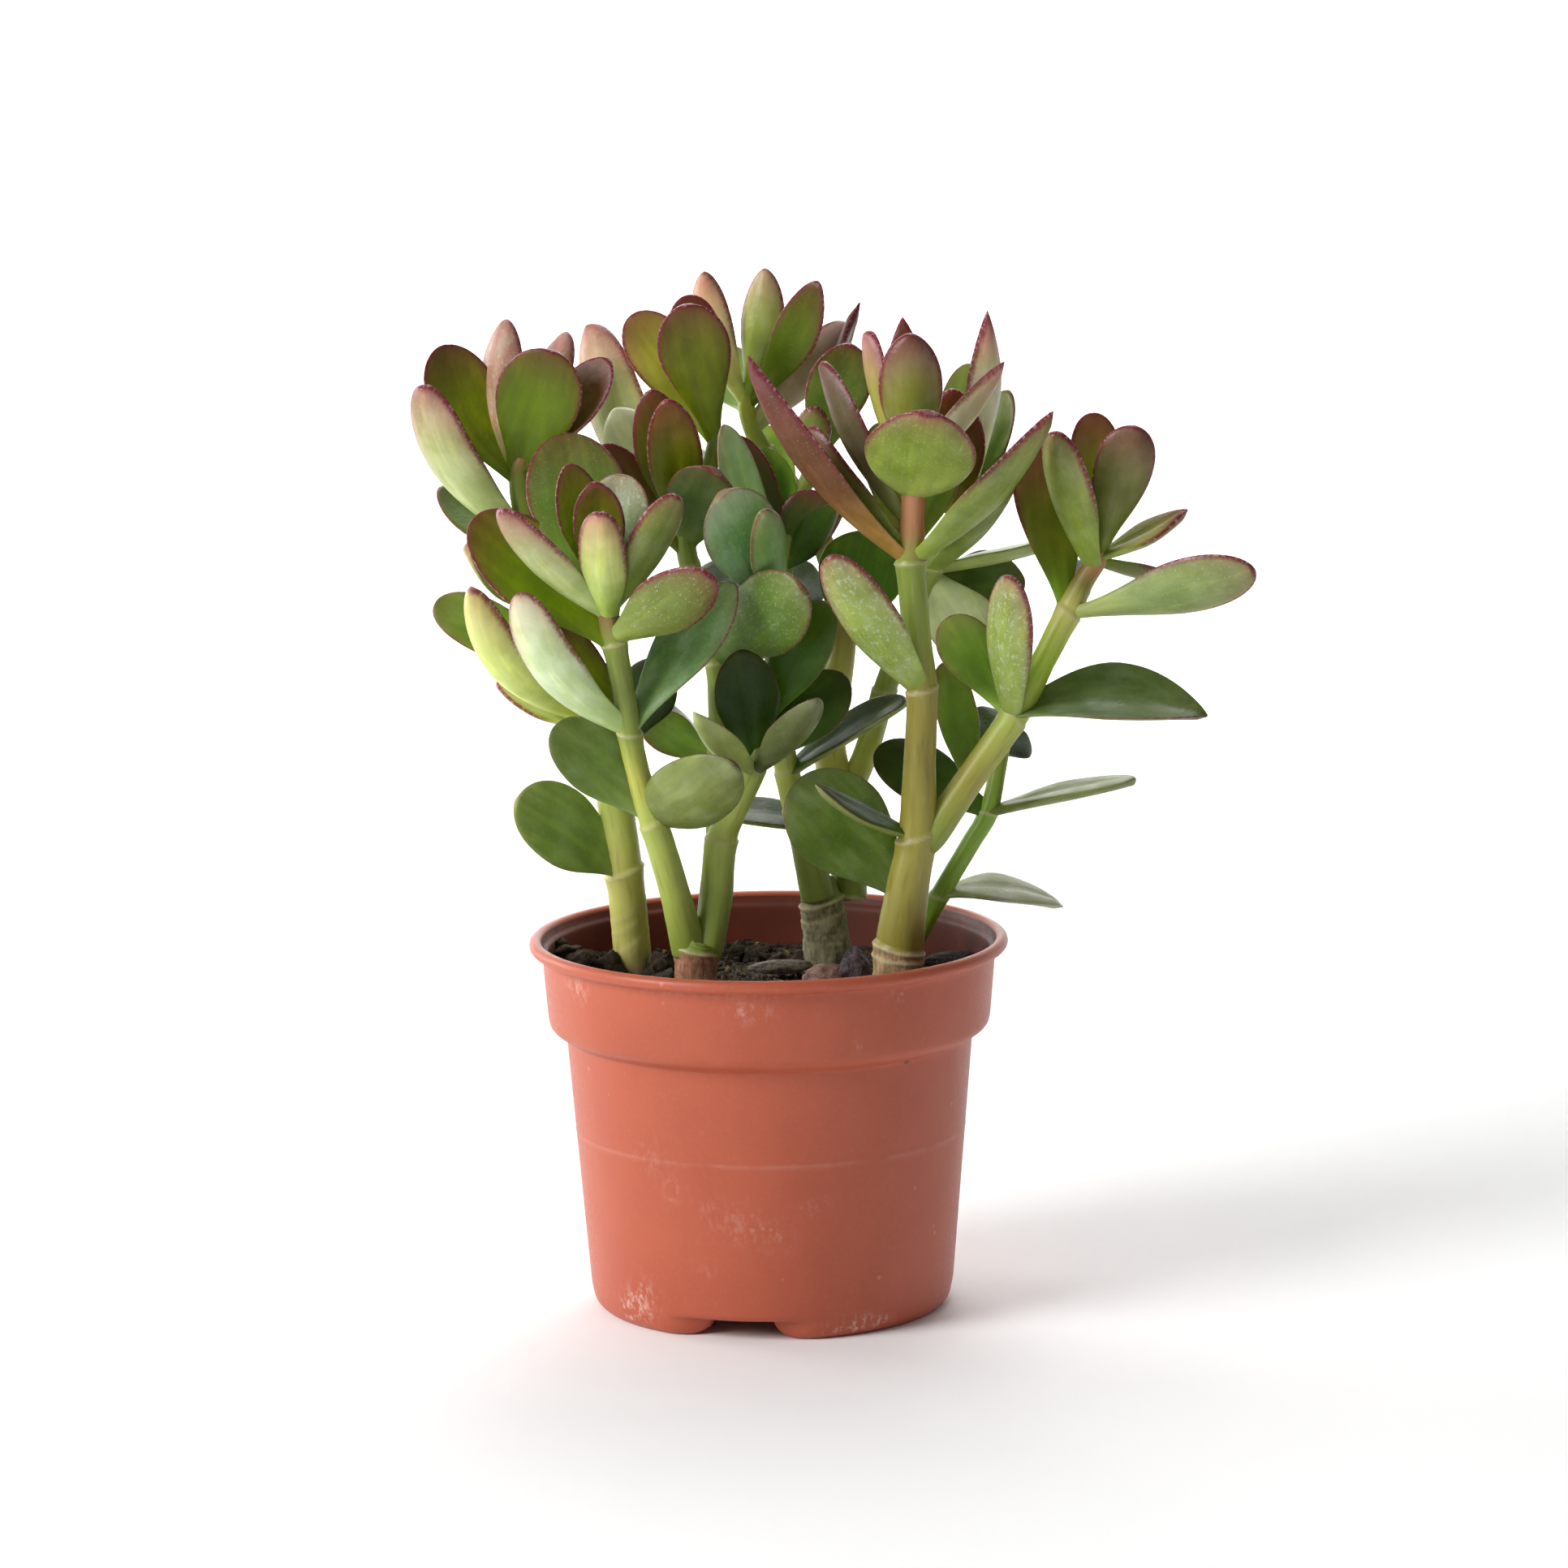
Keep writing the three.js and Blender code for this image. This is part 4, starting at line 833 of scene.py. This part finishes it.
def smooth_line(points, t):
    """Points on the smooth line through the given ones, at shares t: on each stretch
    the cubic whose slope at a point is half the step between its neighbours."""
    whole = np.vstack([2 * points[0] - points[1], points, 2 * points[-1] - points[-2]])
    stretches = len(points) - 1
    k = np.minimum((t * stretches).astype(int), stretches - 1)
    f = (t * stretches - k)[:, None]
    a, b, c, d = (whole[k + n] for n in range(4))
    return 0.5 * (2 * b + (c - a) * f + (2 * a - 5 * b + 4 * c - d) * f ** 2
                  + (3 * b - a - 3 * c + d) * f ** 3)


def branches(name):
    """For each branch of a stem, its colours and its rows of across, down, depth and
    radius."""
    for rows in (written(path, ",") for path in STEMS[name]):
        yield [row[0] for row in rows], np.array([row[1:] for row in rows])


def middle_lines(name):
    """Closely spaced points on the middle lines of all of a stem's branches."""
    lines = []
    for _, path in branches(name):
        shares = np.linspace(0, 1, STEPS_PER_POINT * (len(path) - 1) + 1)
        lines.append(smooth_line(seen(path), shares))
    return np.vstack(lines)


def scar_relief(off):
    """How far a leaf scar stands out so many mm along from its ring: a sharp ridge, a
    soft swelling on one side and a groove on the other, each a bell curve."""
    bells = ((1.0, 0.0, 0.55), (0.5, -1.2, 1.6), (-0.35, 0.9, 0.5))
    return sum(tall * np.exp(-((off - at) / wide) ** 2) for tall, at, wide in bells)


def carried(middle):
    """For each point of a line its distance along the line, the way on, and two ways
    square to that, the first of them towards the front."""
    travelled = np.concatenate([[0], np.cumsum(np.linalg.norm(np.diff(middle, axis=0), axis=1))])
    tangent = unit(np.gradient(middle, travelled, axis=0))
    first = unit(np.array([0, -1.0, 0]) + tangent * tangent[:, 1:2])
    return travelled, tangent, first, np.cross(tangent, first)


def stem_tube(path, words, scars, rooted, bark_top, bark_tint):
    """A round profile carried along the smooth line: middle + radius x (second x
    cos(turn) + first x sin(turn)); the radius follows the table, swells under each
    leaf scar, and is a little uneven."""
    points = seen(path)
    down_view, radii = path[:, 1], path[:, 3]
    if rooted:
        down = (points[0] - points[1]) / np.linalg.norm(points[0] - points[1])
        points = np.vstack([points[0] + down * BURIED, points])
        radii = np.concatenate([radii[:1], radii])
        down_view = np.concatenate([[down_view[0] + BURIED * PX_PER_MM], down_view])
        words = words[:1] + words
    reach = np.linalg.norm(np.diff(points, axis=0), axis=1).sum()
    t = np.linspace(0, 1, int(reach / RING_PITCH) + 2)
    steps = np.linspace(0, 1, len(points))
    radius = np.interp(t, steps, radii)
    view = np.interp(t, steps, down_view)
    tint = np.array([daylight(*STEM_TINTS[word]) for word in words])
    tint = np.stack([np.interp(t, steps, tint[:, k]) for k in range(3)], 1)
    cork = ease(bark_top - BARK_FADE, bark_top + BARK_FADE, view)[:, None]
    tint = tint * (1 - cork) + daylight(*bark_tint) * cork
    middle = smooth_line(points, t)
    travelled, tangent, first, second = carried(middle)

    angle = np.linspace(0, 2 * np.pi, STEM_AROUND, endpoint=False)[None, :]
    along = travelled[:, None] + 0 * angle
    swell, scar = np.zeros((2, *along.shape))
    for at, proud, slant in scars:
        place = np.interp(-at, -view, travelled)
        size = np.interp(place, travelled, radius)
        off = along - place - slant * size * np.cos(angle)
        swell += proud * scar_relief(off)
        scar += min(1.0, 0.7 + proud) * np.exp(-(off / SCAR_WIDTH) ** 2)
    ways = second[:, None] * np.cos(angle)[..., None] + first[:, None] * np.sin(angle)[..., None]
    rough_place = middle[:, None] + ways * radius[:, None, None]
    uneven = (UNEVEN + CORK_UNEVEN * cork) * waves(rough_place, 5.0, 3, seed=5)
    close = np.sqrt(np.clip(1 - ease(TIP_CLOSES_AT, 1.0, t) ** 2 * 0.9, 0.02, 1))[:, None]
    wall = (radius[:, None] * (1 + uneven) + swell) * close
    tube = middle[:, None] + ways * wall[..., None]
    ends = np.stack([middle[0], middle[-1] + tangent[-1] * 0.3])

    def whole(values):
        values = np.broadcast_to(values, along.shape)
        return np.concatenate([values.ravel(), [values[0, 0], values[-1, 0]]])

    return {
        "points": np.vstack([tube.reshape(-1, 3), ends]), "rings": len(t),
        "tint": np.stack([whole(tint[:, k:k + 1]) for k in range(3)], 1),
        "bark": whole(cork), "scar": whole(np.clip(scar, 0, 1)),
        "across": whole(np.abs(angle / np.pi - 1) * SKIN_SPREAD), "along": whole(along),
    }


def bare_stem(name):
    """The stem and branches of one leafy stem as one mesh."""
    tubes = [stem_tube(path, words, scars, number == 0, *BARK.get(name, NO_BARK))
             for number, ((words, path), scars) in enumerate(zip(branches(name), SCARS[name]))]
    faces, first = [], 0
    for tube in tubes:
        faces += skin(tube["rings"], STEM_AROUND, first=first)
        first += len(tube["points"])
    joined = {key: np.concatenate([tube[key] for tube in tubes])
              for key in ("points", "tint", "bark", "scar", "across", "along")}
    piece = put_mesh("stem_" + name, joined["points"], faces, STEM_SKIN)
    for key in ("tint", "bark", "scar"):
        put_values(piece, key, joined[key])
    put_map(piece, "skin", joined["across"], joined["along"])
    return piece


# ---- pot ----
POT_AROUND = 200
FOOT_RADIUS = 42.5
WALL = 1.3
STEP_HEIGHT = 69.5
FLOOR_UNDERSIDE = 5.6
FLOOR_TOP = 7.0
# notches in the foot: half their width at the top and at the foot, height, how many,
# degrees round the pot of the first, and how far the foot curls in beside them
NOTCH = {"half": 8.2, "foot": 14.6, "height": 4.9, "count": 3, "first": 259.0, "inset": 4.2}
NOTCH_FINER = 4  # times as many points round the pot beside a notch
DRAIN_HOLE = {"radius": 4.5, "ring": 25.0, "count": 4, "around": 32, "past": 3.0}
SEAM_HEIGHT = 45.0
FOOT_ROWS = (3, 24)  # the section's rows that a notch may move
INSIDE_ROWS = 42  # the section's rows inside the lip, at its end

# places rubbed pale: angle round the pot from +X in degrees, height, half width,
# half height in mm, and how worn
SCUFFS = [
    (213, 86.5, 4.5, 2.6, 1.2), (265, 85.5, 5.5, 2.4, 0.9), (304, 87.5, 3.0, 1.6, 0.7),
    (240, 38, 3.0, 3.5, 0.4), (252, 33, 4.5, 3.0, 0.4), (262, 30, 5.0, 4.5, 0.5),
    (272, 27, 4.0, 4.0, 0.4), (283, 35, 3.5, 3.0, 0.4), (250, 18, 3.0, 2.0, 0.3),
    (227, 8.0, 3.5, 5.0, 1.2), (220, 5.0, 4.0, 4.0, 2.4), (296, 3.0, 6.5, 2.0, 2.2),
    (306, 3.0, 4.0, 1.5, 1.8), (292, 76, 1.6, 1.3, 0.8), (232, 46, 3.5, 4.0, 0.4),
    (255, 90, 20, 0.6, 0.6), (20, 40, 6, 8, 0.8), (75, 84, 5, 2.5, 1.2), (110, 22, 7, 5, 0.8),
    (150, 60, 4, 6, 0.8),
]


def pot_outline():
    """Radius and height of the wall's section, from the middle of the floor's underside
    out, up the outside, over the lip and back down inside."""
    foot = FOOT_RADIUS - WALL
    under = [*((reach, FLOOR_UNDERSIDE) for reach in (0, 16, 32, 40.6)),
             (foot, FLOOR_UNDERSIDE - 0.6), (foot, 3.6), (foot, 2.0), (foot, 0.3), (foot + 0.3, 0)]
    heights = np.linspace(7, STEP_HEIGHT - 0.6, 90)
    seam = 0.16 * np.exp(-((heights - SEAM_HEIGHT) / 0.35) ** 2)
    wall = 45.7 + (51.0 - 45.7) * (heights - 6) / (STEP_HEIGHT - 6) + seam
    band = np.linspace(76, 88.4, 12)
    outer = [(42.3, 0), (43.2, 0.25), (43.9, 0.8), (44.6, 1.7), (45.0, 2.7), (45.25, 3.6),
             (45.4, 4.4), (45.5, 4.9), (45.6, 5.3), (45.65, 6.0),
             *zip(wall, heights),
             (51.05, 69.1), (51.6, 69.5), (52.6, 70.05), (53.6, 70.65), (54.45, 71.3),
             (55.05, 72.1), (55.35, 73.1), (55.5, 74.4), *zip(55.65 + (band - 76) * 0.085, band),
             (56.8, 89.5), (57.1, 90.0), (57.9, 90.3), (58.9, 90.55), (59.5, 90.95),
             (59.9, 91.5), (LIP_RADIUS, 92.1), (59.85, 92.8), (59.45, 93.35), (58.9, 93.7),
             (58.3, 93.8)]
    inner = [(57.7, 93.65), (57.2, 93.2), (56.95, 92.6), (56.6, 91.4), (56.2, 90.9),
             (55.5, 90.6), (55.3, 90.1), *zip(np.linspace(55.2, 54.4, 8), np.linspace(89.4, 76.3, 8)),
             (54.1, 75.2), (53.7, 74.2), (53.0, 73.2), (52.2, 72.4), (51.0, 71.6),
             (51.0 - WALL, STEP_HEIGHT + 1),
             *zip(np.linspace(49.2, 44.9, 16), np.linspace(66, 10.5, 16)),
             (44.6, FLOOR_TOP + 1.6), (44.1, FLOOR_TOP + 0.5), (43.2, FLOOR_TOP),
             (36, FLOOR_TOP), (20, FLOOR_TOP), (0, FLOOR_TOP)]
    return np.array(under + outer + inner, float)


def drain_cutters():
    """Short upright rounds that cut the floor's holes: two rings and their middles each,
    set evenly on a larger ring."""
    turn = np.linspace(0, 2 * np.pi, DRAIN_HOLE["around"], endpoint=False)
    ring = np.stack([np.cos(turn), np.sin(turn), 0 * turn], 1) * DRAIN_HOLE["radius"]
    levels = [(0, 0, FLOOR_TOP + DRAIN_HOLE["past"]), (0, 0, FLOOR_UNDERSIDE - DRAIN_HOLE["past"])]
    cutter = np.vstack([ring + levels[0], ring + levels[1], levels])
    at = 2 * np.pi * np.arange(DRAIN_HOLE["count"]) / DRAIN_HOLE["count"]
    places = np.stack([np.cos(at), np.sin(at), 0 * at], 1) * DRAIN_HOLE["ring"]
    points = (places[:, None] + cutter).reshape(-1, 3)
    return put_mesh("drain_cutters", points, skins(len(places), 2, len(ring)), None)


def notched_wall(outline):
    """The section turned about Z: a point is (r cos a, r sin a, z). Towards each notch
    the foot's lower edge rises in a quarter round to the notch's height and the foot
    curls inwards."""
    angle = np.linspace(0, 2 * np.pi, POT_AROUND * NOTCH_FINER, endpoint=False)
    centres = np.radians(NOTCH["first"] + 360 * np.arange(NOTCH["count"]) / NOTCH["count"])
    off = np.abs((angle[:, None] - centres + np.pi) % (2 * np.pi) - np.pi).min(1) * FOOT_RADIUS
    keep = (off < NOTCH["foot"] + 8) | (np.arange(len(angle)) % NOTCH_FINER == 0)
    angle, off = angle[keep], off[keep]
    past = np.clip((off - NOTCH["half"]) / (NOTCH["foot"] - NOTCH["half"]), 0, 1)
    rise = NOTCH["height"] * (1 - np.sqrt(1 - (1 - past) ** 2))
    curl = NOTCH["inset"] * (1 - ease(NOTCH["half"] - 1, NOTCH["foot"] + 6, off)) ** 1.5
    radius = outline[:, :1] + 0 * angle
    height = outline[:, 1:] + 0 * angle
    steps = np.arange(len(outline))[:, None]
    foot = (steps >= FOOT_ROWS[0]) & (height < 7.5) & (steps < FOOT_ROWS[1])
    radius = np.where(foot, radius - curl * ease(5.7, 4.3, height), radius)
    height = np.where(foot, height + rise * np.clip(1 - height / 5.3, 0, 1), height)
    return np.stack([radius * np.cos(angle), radius * np.sin(angle), height], -1)


def put_wear_and_painted_shade(pot, whole, outside):
    """Where the plastic is scuffed, has its mould seam and is specked, and where,
    inside below the lip, it is painted darker for shade.
    """
    x, y, z = whole.T
    degrees = np.degrees(np.arctan2(y, x)) % 360
    scuff = np.zeros(len(whole))
    for at, up, wide, tall, worn in SCUFFS:
        arc = np.radians((degrees - at + 180) % 360 - 180) * np.hypot(x, y)
        scuff += worn * np.exp(-(arc / wide) ** 2 - ((z - up) / tall) ** 2)
    put_values(pot, "scuff", np.clip(scuff, 0, 2) * outside)
    put_values(pot, "seam", np.exp(-((z - SEAM_HEIGHT) / 0.3) ** 2) * outside)
    put_values(pot, "speckled", ease(6, 14, z) * outside)
    # painted shade inside, below the lip
    put_values(pot, "painted_inside_shade", (1 - outside) * ease(93.3, 92.6, z))


def nursery_pot():
    """The notched wall with its floor, worn, painted darker inside for shade, and cut
    by the drain holes.
    """
    points = notched_wall(pot_outline())
    rings, around = len(points) - 2, points.shape[1]
    whole = np.vstack([points[1:-1].reshape(-1, 3), points[[0, -1], 0]])
    pot = put_mesh("nursery_pot", whole, skins(1, rings, around, flipped=True), POT_PLASTIC)
    outside = np.repeat(np.arange(rings) < len(points) - INSIDE_ROWS, around)
    put_wear_and_painted_shade(pot, whole, np.concatenate([outside, [False, False]]))
    cutters = drain_cutters()
    cut = pot.modifiers.new("drain holes", "BOOLEAN")
    cut.object, cut.operation, cut.solver = cutters, "DIFFERENCE", "EXACT"
    bpy.context.view_layer.update()
    finished = pot.evaluated_get(bpy.context.evaluated_depsgraph_get())
    pot.data = bpy.data.meshes.new_from_object(finished)
    pot.modifiers.clear()
    bpy.data.objects.remove(cutters)
    return pot


# ---- soil, stones and bark ----
SOIL_EDGE = 79.0
SOIL_CROWN = 80.6
SOIL_RADIUS = 54.2
SOIL_UNDERSIDE = 7.3
SOIL_AROUND, SOIL_RINGS = 320, 110
CRUMBS = 4400
CRUMB_REACH = 52.5
FIBRE_SHARE = 0.22
CLUMPS = [  # across, down, depth, half size in mm: clods heaped against the wall
    (700, 1172, 8, 3.2), (716, 1178, 2, 3.6), (735, 1184, 4, 3.0), (752, 1172, 14, 3.4),
    (806, 1166, 16, 4.2), (818, 1180, 4, 4.0), (828, 1160, 24, 3.2), (742, 1192, -8, 3.0),
    (905, 1165, 34, 3.0), (930, 1168, 33, 2.6), (1160, 1178, 24, 2.6), (800, 1196, -8, 3.0),
    (690, 1164, 14, 2.6), (770, 1200, -12, 2.8), (960, 1180, 24, 2.6), (990, 1170, 32, 2.4),
]
# place across, down, depth; half sizes in mm; degrees turned; unevenness; taper; slot;
# then the finish: its name, three shades, how fine it is and how rough
LUMPS = {
    "stone_pale": (
        (1016, 1203, 2.5), (5.2, 4.2, 3.4), 20, 0.22, 0.0, "stone_pale",
        ("pinkish_stone", (130, 92, 84), (180, 140, 128), (206, 178, 166), 500, 0.8)),
    "stone_pointed": (
        (1054, 1186, 4.5), (4.4, 3.6, 4.6), 60, 0.22, 0.5, "stone_pointed",
        ("purplish_stone", (52, 42, 48), (98, 84, 90), (168, 150, 146), 500, 0.8)),
    "bark_chip_flat": (
        (962, 1191, 8), (8.0, 4.2, 1.7), 8, 0.16, 0.0, "bark_grey",
        ("grey_bark", (64, 56, 46), (120, 110, 96), (168, 158, 140), 420, 0.92)),
    "bark_chip_right": (
        (1172, 1182, 16), (7.0, 3.4, 2.2), 14, 0.16, 0.0, "bark_dark",
        ("dark_bark", (22, 17, 14), (48, 38, 32), (96, 80, 66), 420, 0.92)),
}
LUMP_EASE = 0.97  # of its size, so that its unevenness stays within its node's form


def soil_height(x, y):
    """The soil's top: a shallow crown, heaped at the left and a little at the back, with
    three sizes of uneven waves."""
    reach = np.hypot(x, y)
    crown = SOIL_CROWN - (SOIL_CROWN - SOIL_EDGE) * (reach / SOIL_RADIUS) ** 2
    crown = crown + 7.5 * ease(34, 52, -x) * ease(-34, 6, y) + 1.5 * ease(20, 52, y)
    flat = np.stack([x, y], -1)
    return (crown + 0.55 * waves(flat, 26, 2, seed=3) + 0.5 * waves(flat, 6, 3, seed=8)
            + 0.22 * waves(flat, 2.4, 2, seed=9))


def soil_bed():
    """The filling: a section turned about Z up to the wall, and over it the uneven top
    as height over a grid of radius and angle."""
    angle = np.linspace(0, 2 * np.pi, SOIL_AROUND, endpoint=False)
    sides = np.array([(20, SOIL_UNDERSIDE), (43, SOIL_UNDERSIDE), (44.2, 9), (49.4, 70.5),
                      (51.7, 72.6), (53.2, 74.6), (53.9, 76.5), (54.15, 78.2)])
    top = np.linspace(54.0, 0.8, SOIL_RINGS)
    radius = np.concatenate([sides[:, 0], top])[:, None] + 0 * angle
    x, y = radius * np.cos(angle), radius * np.sin(angle)
    height = soil_height(x, y)
    height[:len(sides)] = sides[:, 1:]
    points = np.stack([x, y, height], -1)
    ends = np.array([[0, 0, SOIL_UNDERSIDE], [0, 0, soil_height(np.zeros(1), np.zeros(1))[0]]])
    faces = skins(1, len(points), SOIL_AROUND, flipped=True)
    piece = put_mesh("soil_bed", np.vstack([points.reshape(-1, 3), ends]), faces, SOIL)
    put_values(piece, "tint", np.ones((len(piece.data.vertices), 3)))
    return piece


def lump_shapes(centres, sizes, turns, rings, around, rough, seed, taper):
    """Many rough lumps: balls of a few rings, each stretched by its three half sizes,
    narrowed towards the top by the taper, pushed in and out by uneven waves, turned
    about Z and tilted."""
    latitude = np.linspace(0, np.pi, rings + 2)
    longitude = np.linspace(0, 2 * np.pi, around, endpoint=False)
    a, b = np.meshgrid(latitude[1:-1], longitude, indexing="ij")
    ball = np.stack([np.sin(a) * np.cos(b), np.sin(a) * np.sin(b), -np.cos(a)], -1).reshape(-1, 3)
    ball = np.vstack([ball, [[0, 0, -1], [0, 0, 1]]])
    shift = np.arange(len(centres))[:, None, None] * 3.7
    push = 1 + rough * waves(ball[None] + shift, 2.2, 3, seed)
    shaped = ball[None] * push[..., None] * sizes[:, None, :]
    shaped[..., :2] *= (1 - taper * ball[:, 2:])[None]
    turn, tilt = turns[:, 0, None], turns[:, 1, None]
    x, y, z = shaped[..., 0], shaped[..., 1], shaped[..., 2]
    y, z = y * np.cos(tilt) - z * np.sin(tilt), y * np.sin(tilt) + z * np.cos(tilt)
    x, y = x * np.cos(turn) - y * np.sin(turn), x * np.sin(turn) + y * np.cos(turn)
    return np.stack([x, y, z], -1) + centres[:, None, :]


def put_lumps(name, centres, sizes, turns, finish, rings, around, rough, seed, tints, taper=0.0):
    """Many rough lumps as one piece, each with its own tint."""
    points = lump_shapes(centres, sizes, turns, rings, around, rough, seed, taper)
    faces = skins(len(centres), rings, around, flipped=True)
    piece = put_mesh(name, points.reshape(-1, 3), faces, finish, smooth=False)
    put_values(piece, "tint", np.repeat(tints, points.shape[1], 0))
    return piece


def crumbs():
    """Loose crumbs and fibres all over the soil, smaller ones more often."""
    reach = CRUMB_REACH * np.sqrt(draw.uniform(0, 1, CRUMBS))
    at = draw.uniform(0, 2 * np.pi, CRUMBS)
    x, y = reach * np.cos(at), reach * np.sin(at)
    size = 0.24 + 0.95 * draw.uniform(0, 1, CRUMBS) ** 4
    sizes = size[:, None] * draw.uniform(0.6, 1.3, (CRUMBS, 3))
    fibre = draw.uniform(0, 1, CRUMBS) < FIBRE_SHARE
    sizes[fibre] *= [2.6, 0.6, 0.55]
    centres = np.stack([x, y, soil_height(x, y) + 0.25 * size], 1)
    turns = draw.uniform(-1, 1, (CRUMBS, 2)) * [np.pi, 0.5]
    shade = draw.choice([0.35, 0.65, 1.0, 1.7, 4.2], CRUMBS, p=[0.26, 0.27, 0.22, 0.14, 0.11])
    tints = shade[:, None] * (1 + draw.uniform(-0.1, 0.1, (CRUMBS, 3)))
    tints[fibre] *= [1.5, 1.35, 0.95]
    return put_lumps("soil_crumbs", centres, sizes, turns, SOIL, 3, 6, 0.35, 11, tints)


def clumps():
    """Bigger clods heaped on the soil against the wall."""
    rows = np.array(CLUMPS, float)
    centres = seen(rows)
    sizes = rows[:, 3:] * draw.uniform(0.6, 1.1, (len(rows), 3))
    turns = draw.uniform(-1, 1, (len(rows), 2)) * [np.pi, 0.6]
    centres[:, 2] = soil_height(centres[:, 0], centres[:, 1]) + sizes[:, 2] * 0.45
    tints = np.repeat(draw.uniform(0.5, 1.1, (len(rows), 1)), 3, 1)
    return put_lumps("soil_clods", centres, sizes, turns, SOIL, 20, 26, 0.42, 4, tints)


def single_lump(name):
    """One stone or bark chip in the place of its node."""
    place, sizes, turn, uneven, taper, _, finish = LUMPS[name]
    return put_lumps(name + "_rough", seen([place]), np.array([sizes]) * LUMP_EASE,
                     np.array([[np.radians(turn), 0.0]]), crumb_finish(*finish), 26, 34,
                     uneven, 21, np.ones((1, 3)), taper)


# ---- making the object ----
LEAF_SKIN = leaf_finish()
STEM_SKIN = stem_finish()
POT_PLASTIC = pot_finish()
SOIL = crumb_finish("damp_soil", (28, 20, 12), (66, 50, 32), (140, 120, 82), 900, 0.92)

# each piece, the node whose place it takes, and its slot
pieces = [(nursery_pot(), "pot", "pot_plastic"), (soil_bed(), "soil", "soil"),
          (crumbs(), None, "soil"), (clumps(), None, "soil")]
for name in LUMPS:
    pieces.append((single_lump(name), name, LUMPS[name][5]))
for name in STEMS:
    for piece in (bare_stem(name), leafy_foliage(name, middle_lines(name))):
        pieces.append((piece, "leafy_stem_" + name, "plant"))
for piece, node, slot in pieces:
    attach(piece, "root")
    if node:
        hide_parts(node)


# ---- studio ----
def studio_sweep():
    """A pale floor that curves up into a backdrop: the same section, flat, quarter
    round, upright, at every place from side to side."""
    turn = np.linspace(0, np.pi / 2, 24)
    depth = np.concatenate([[-4000, 0, 1200], 1400 + 900 * np.sin(turn), [2300]])
    height = np.concatenate([[0, 0, 0], 900 - 900 * np.cos(turn), [5000]])
    side = np.linspace(-5000, 5000, 9)
    points = np.stack(np.broadcast_arrays(side[None, :], depth[:, None], height[:, None]), -1)
    i, j = np.meshgrid(np.arange(len(depth) - 1), np.arange(len(side) - 1), indexing="ij")
    corner = (i * len(side) + j).ravel()
    faces = np.stack([corner, corner + 1, corner + 1 + len(side), corner + len(side)], 1)
    f = Finish("studio_paper", 0.9)
    f.paint(Base_Color=(0.96, 0.96, 0.96, 1))
    return put_mesh("studio_sweep", points.reshape(-1, 3) - POT_AXIS, [faces], f.material)


def soft_light(name, place, size, power, aim=(0, 0, 0.13)):
    """A round soft lamp at a place in metres that shines towards its aim."""
    light = bpy.data.lights.new(name, "AREA")
    light.shape, light.size, light.energy = "DISK", size, power
    lamp = bpy.data.objects.new(name, light)
    bpy.context.scene.collection.objects.link(lamp)
    away = np.array(place) - np.array(aim)
    away = away / np.linalg.norm(away)
    side = np.cross([0, 0, 1.0], away)
    side /= np.linalg.norm(side)
    turn = Matrix(np.column_stack([side, np.cross(away, side), away]).tolist()).to_4x4()
    turn.translation = place
    lamp.matrix_world = turn


studio_sweep()
# name, place, size in metres, power in watts
soft_light("key_light", (-1.7, -1.0, 1.15), 1.2, 46.5)
soft_light("top_light", (0.15, 0.9, 1.7), 0.9, 10)
soft_light("fill_light", (1.8, -1.6, 0.9), 1.8, 1)
soft_light("edge_light", (-1.5, 0.9, 0.5), 0.9, 11)
soft_light("backdrop_light", (0, 0.9, 1.4), 1.2, 54, aim=(0, 2.3, 0.9))
world = bpy.data.worlds.new("studio")
bpy.context.scene.world = world
world.use_nodes = True
air = world.node_tree.nodes["Background"].inputs
air["Color"].default_value = (1, 1, 1, 1)
air["Strength"].default_value = 0.215
bpy.context.scene.view_settings.view_transform = "Standard"

# the camera stands at the eye, looks at the aim and is turned by the tilt
SENSOR = 36.0
lens = bpy.data.cameras.new("eye")
lens.sensor_width = SENSOR
lens.lens = SENSOR * FOCAL / VIEW_SIDE
lens.clip_end = 20
eye = bpy.data.objects.new("eye", lens)
bpy.context.scene.collection.objects.link(eye)
level_right = np.cos(TILT) * RIGHT - np.sin(TILT) * UP
level_up = np.sin(TILT) * RIGHT + np.cos(TILT) * UP
stand = Matrix(np.column_stack([level_right, level_up, -FORWARD]).tolist()).to_4x4()
stand.translation = ((EYE + POT_AXIS) * MM).tolist()
eye.matrix_world = stand
bpy.context.scene.camera = eye
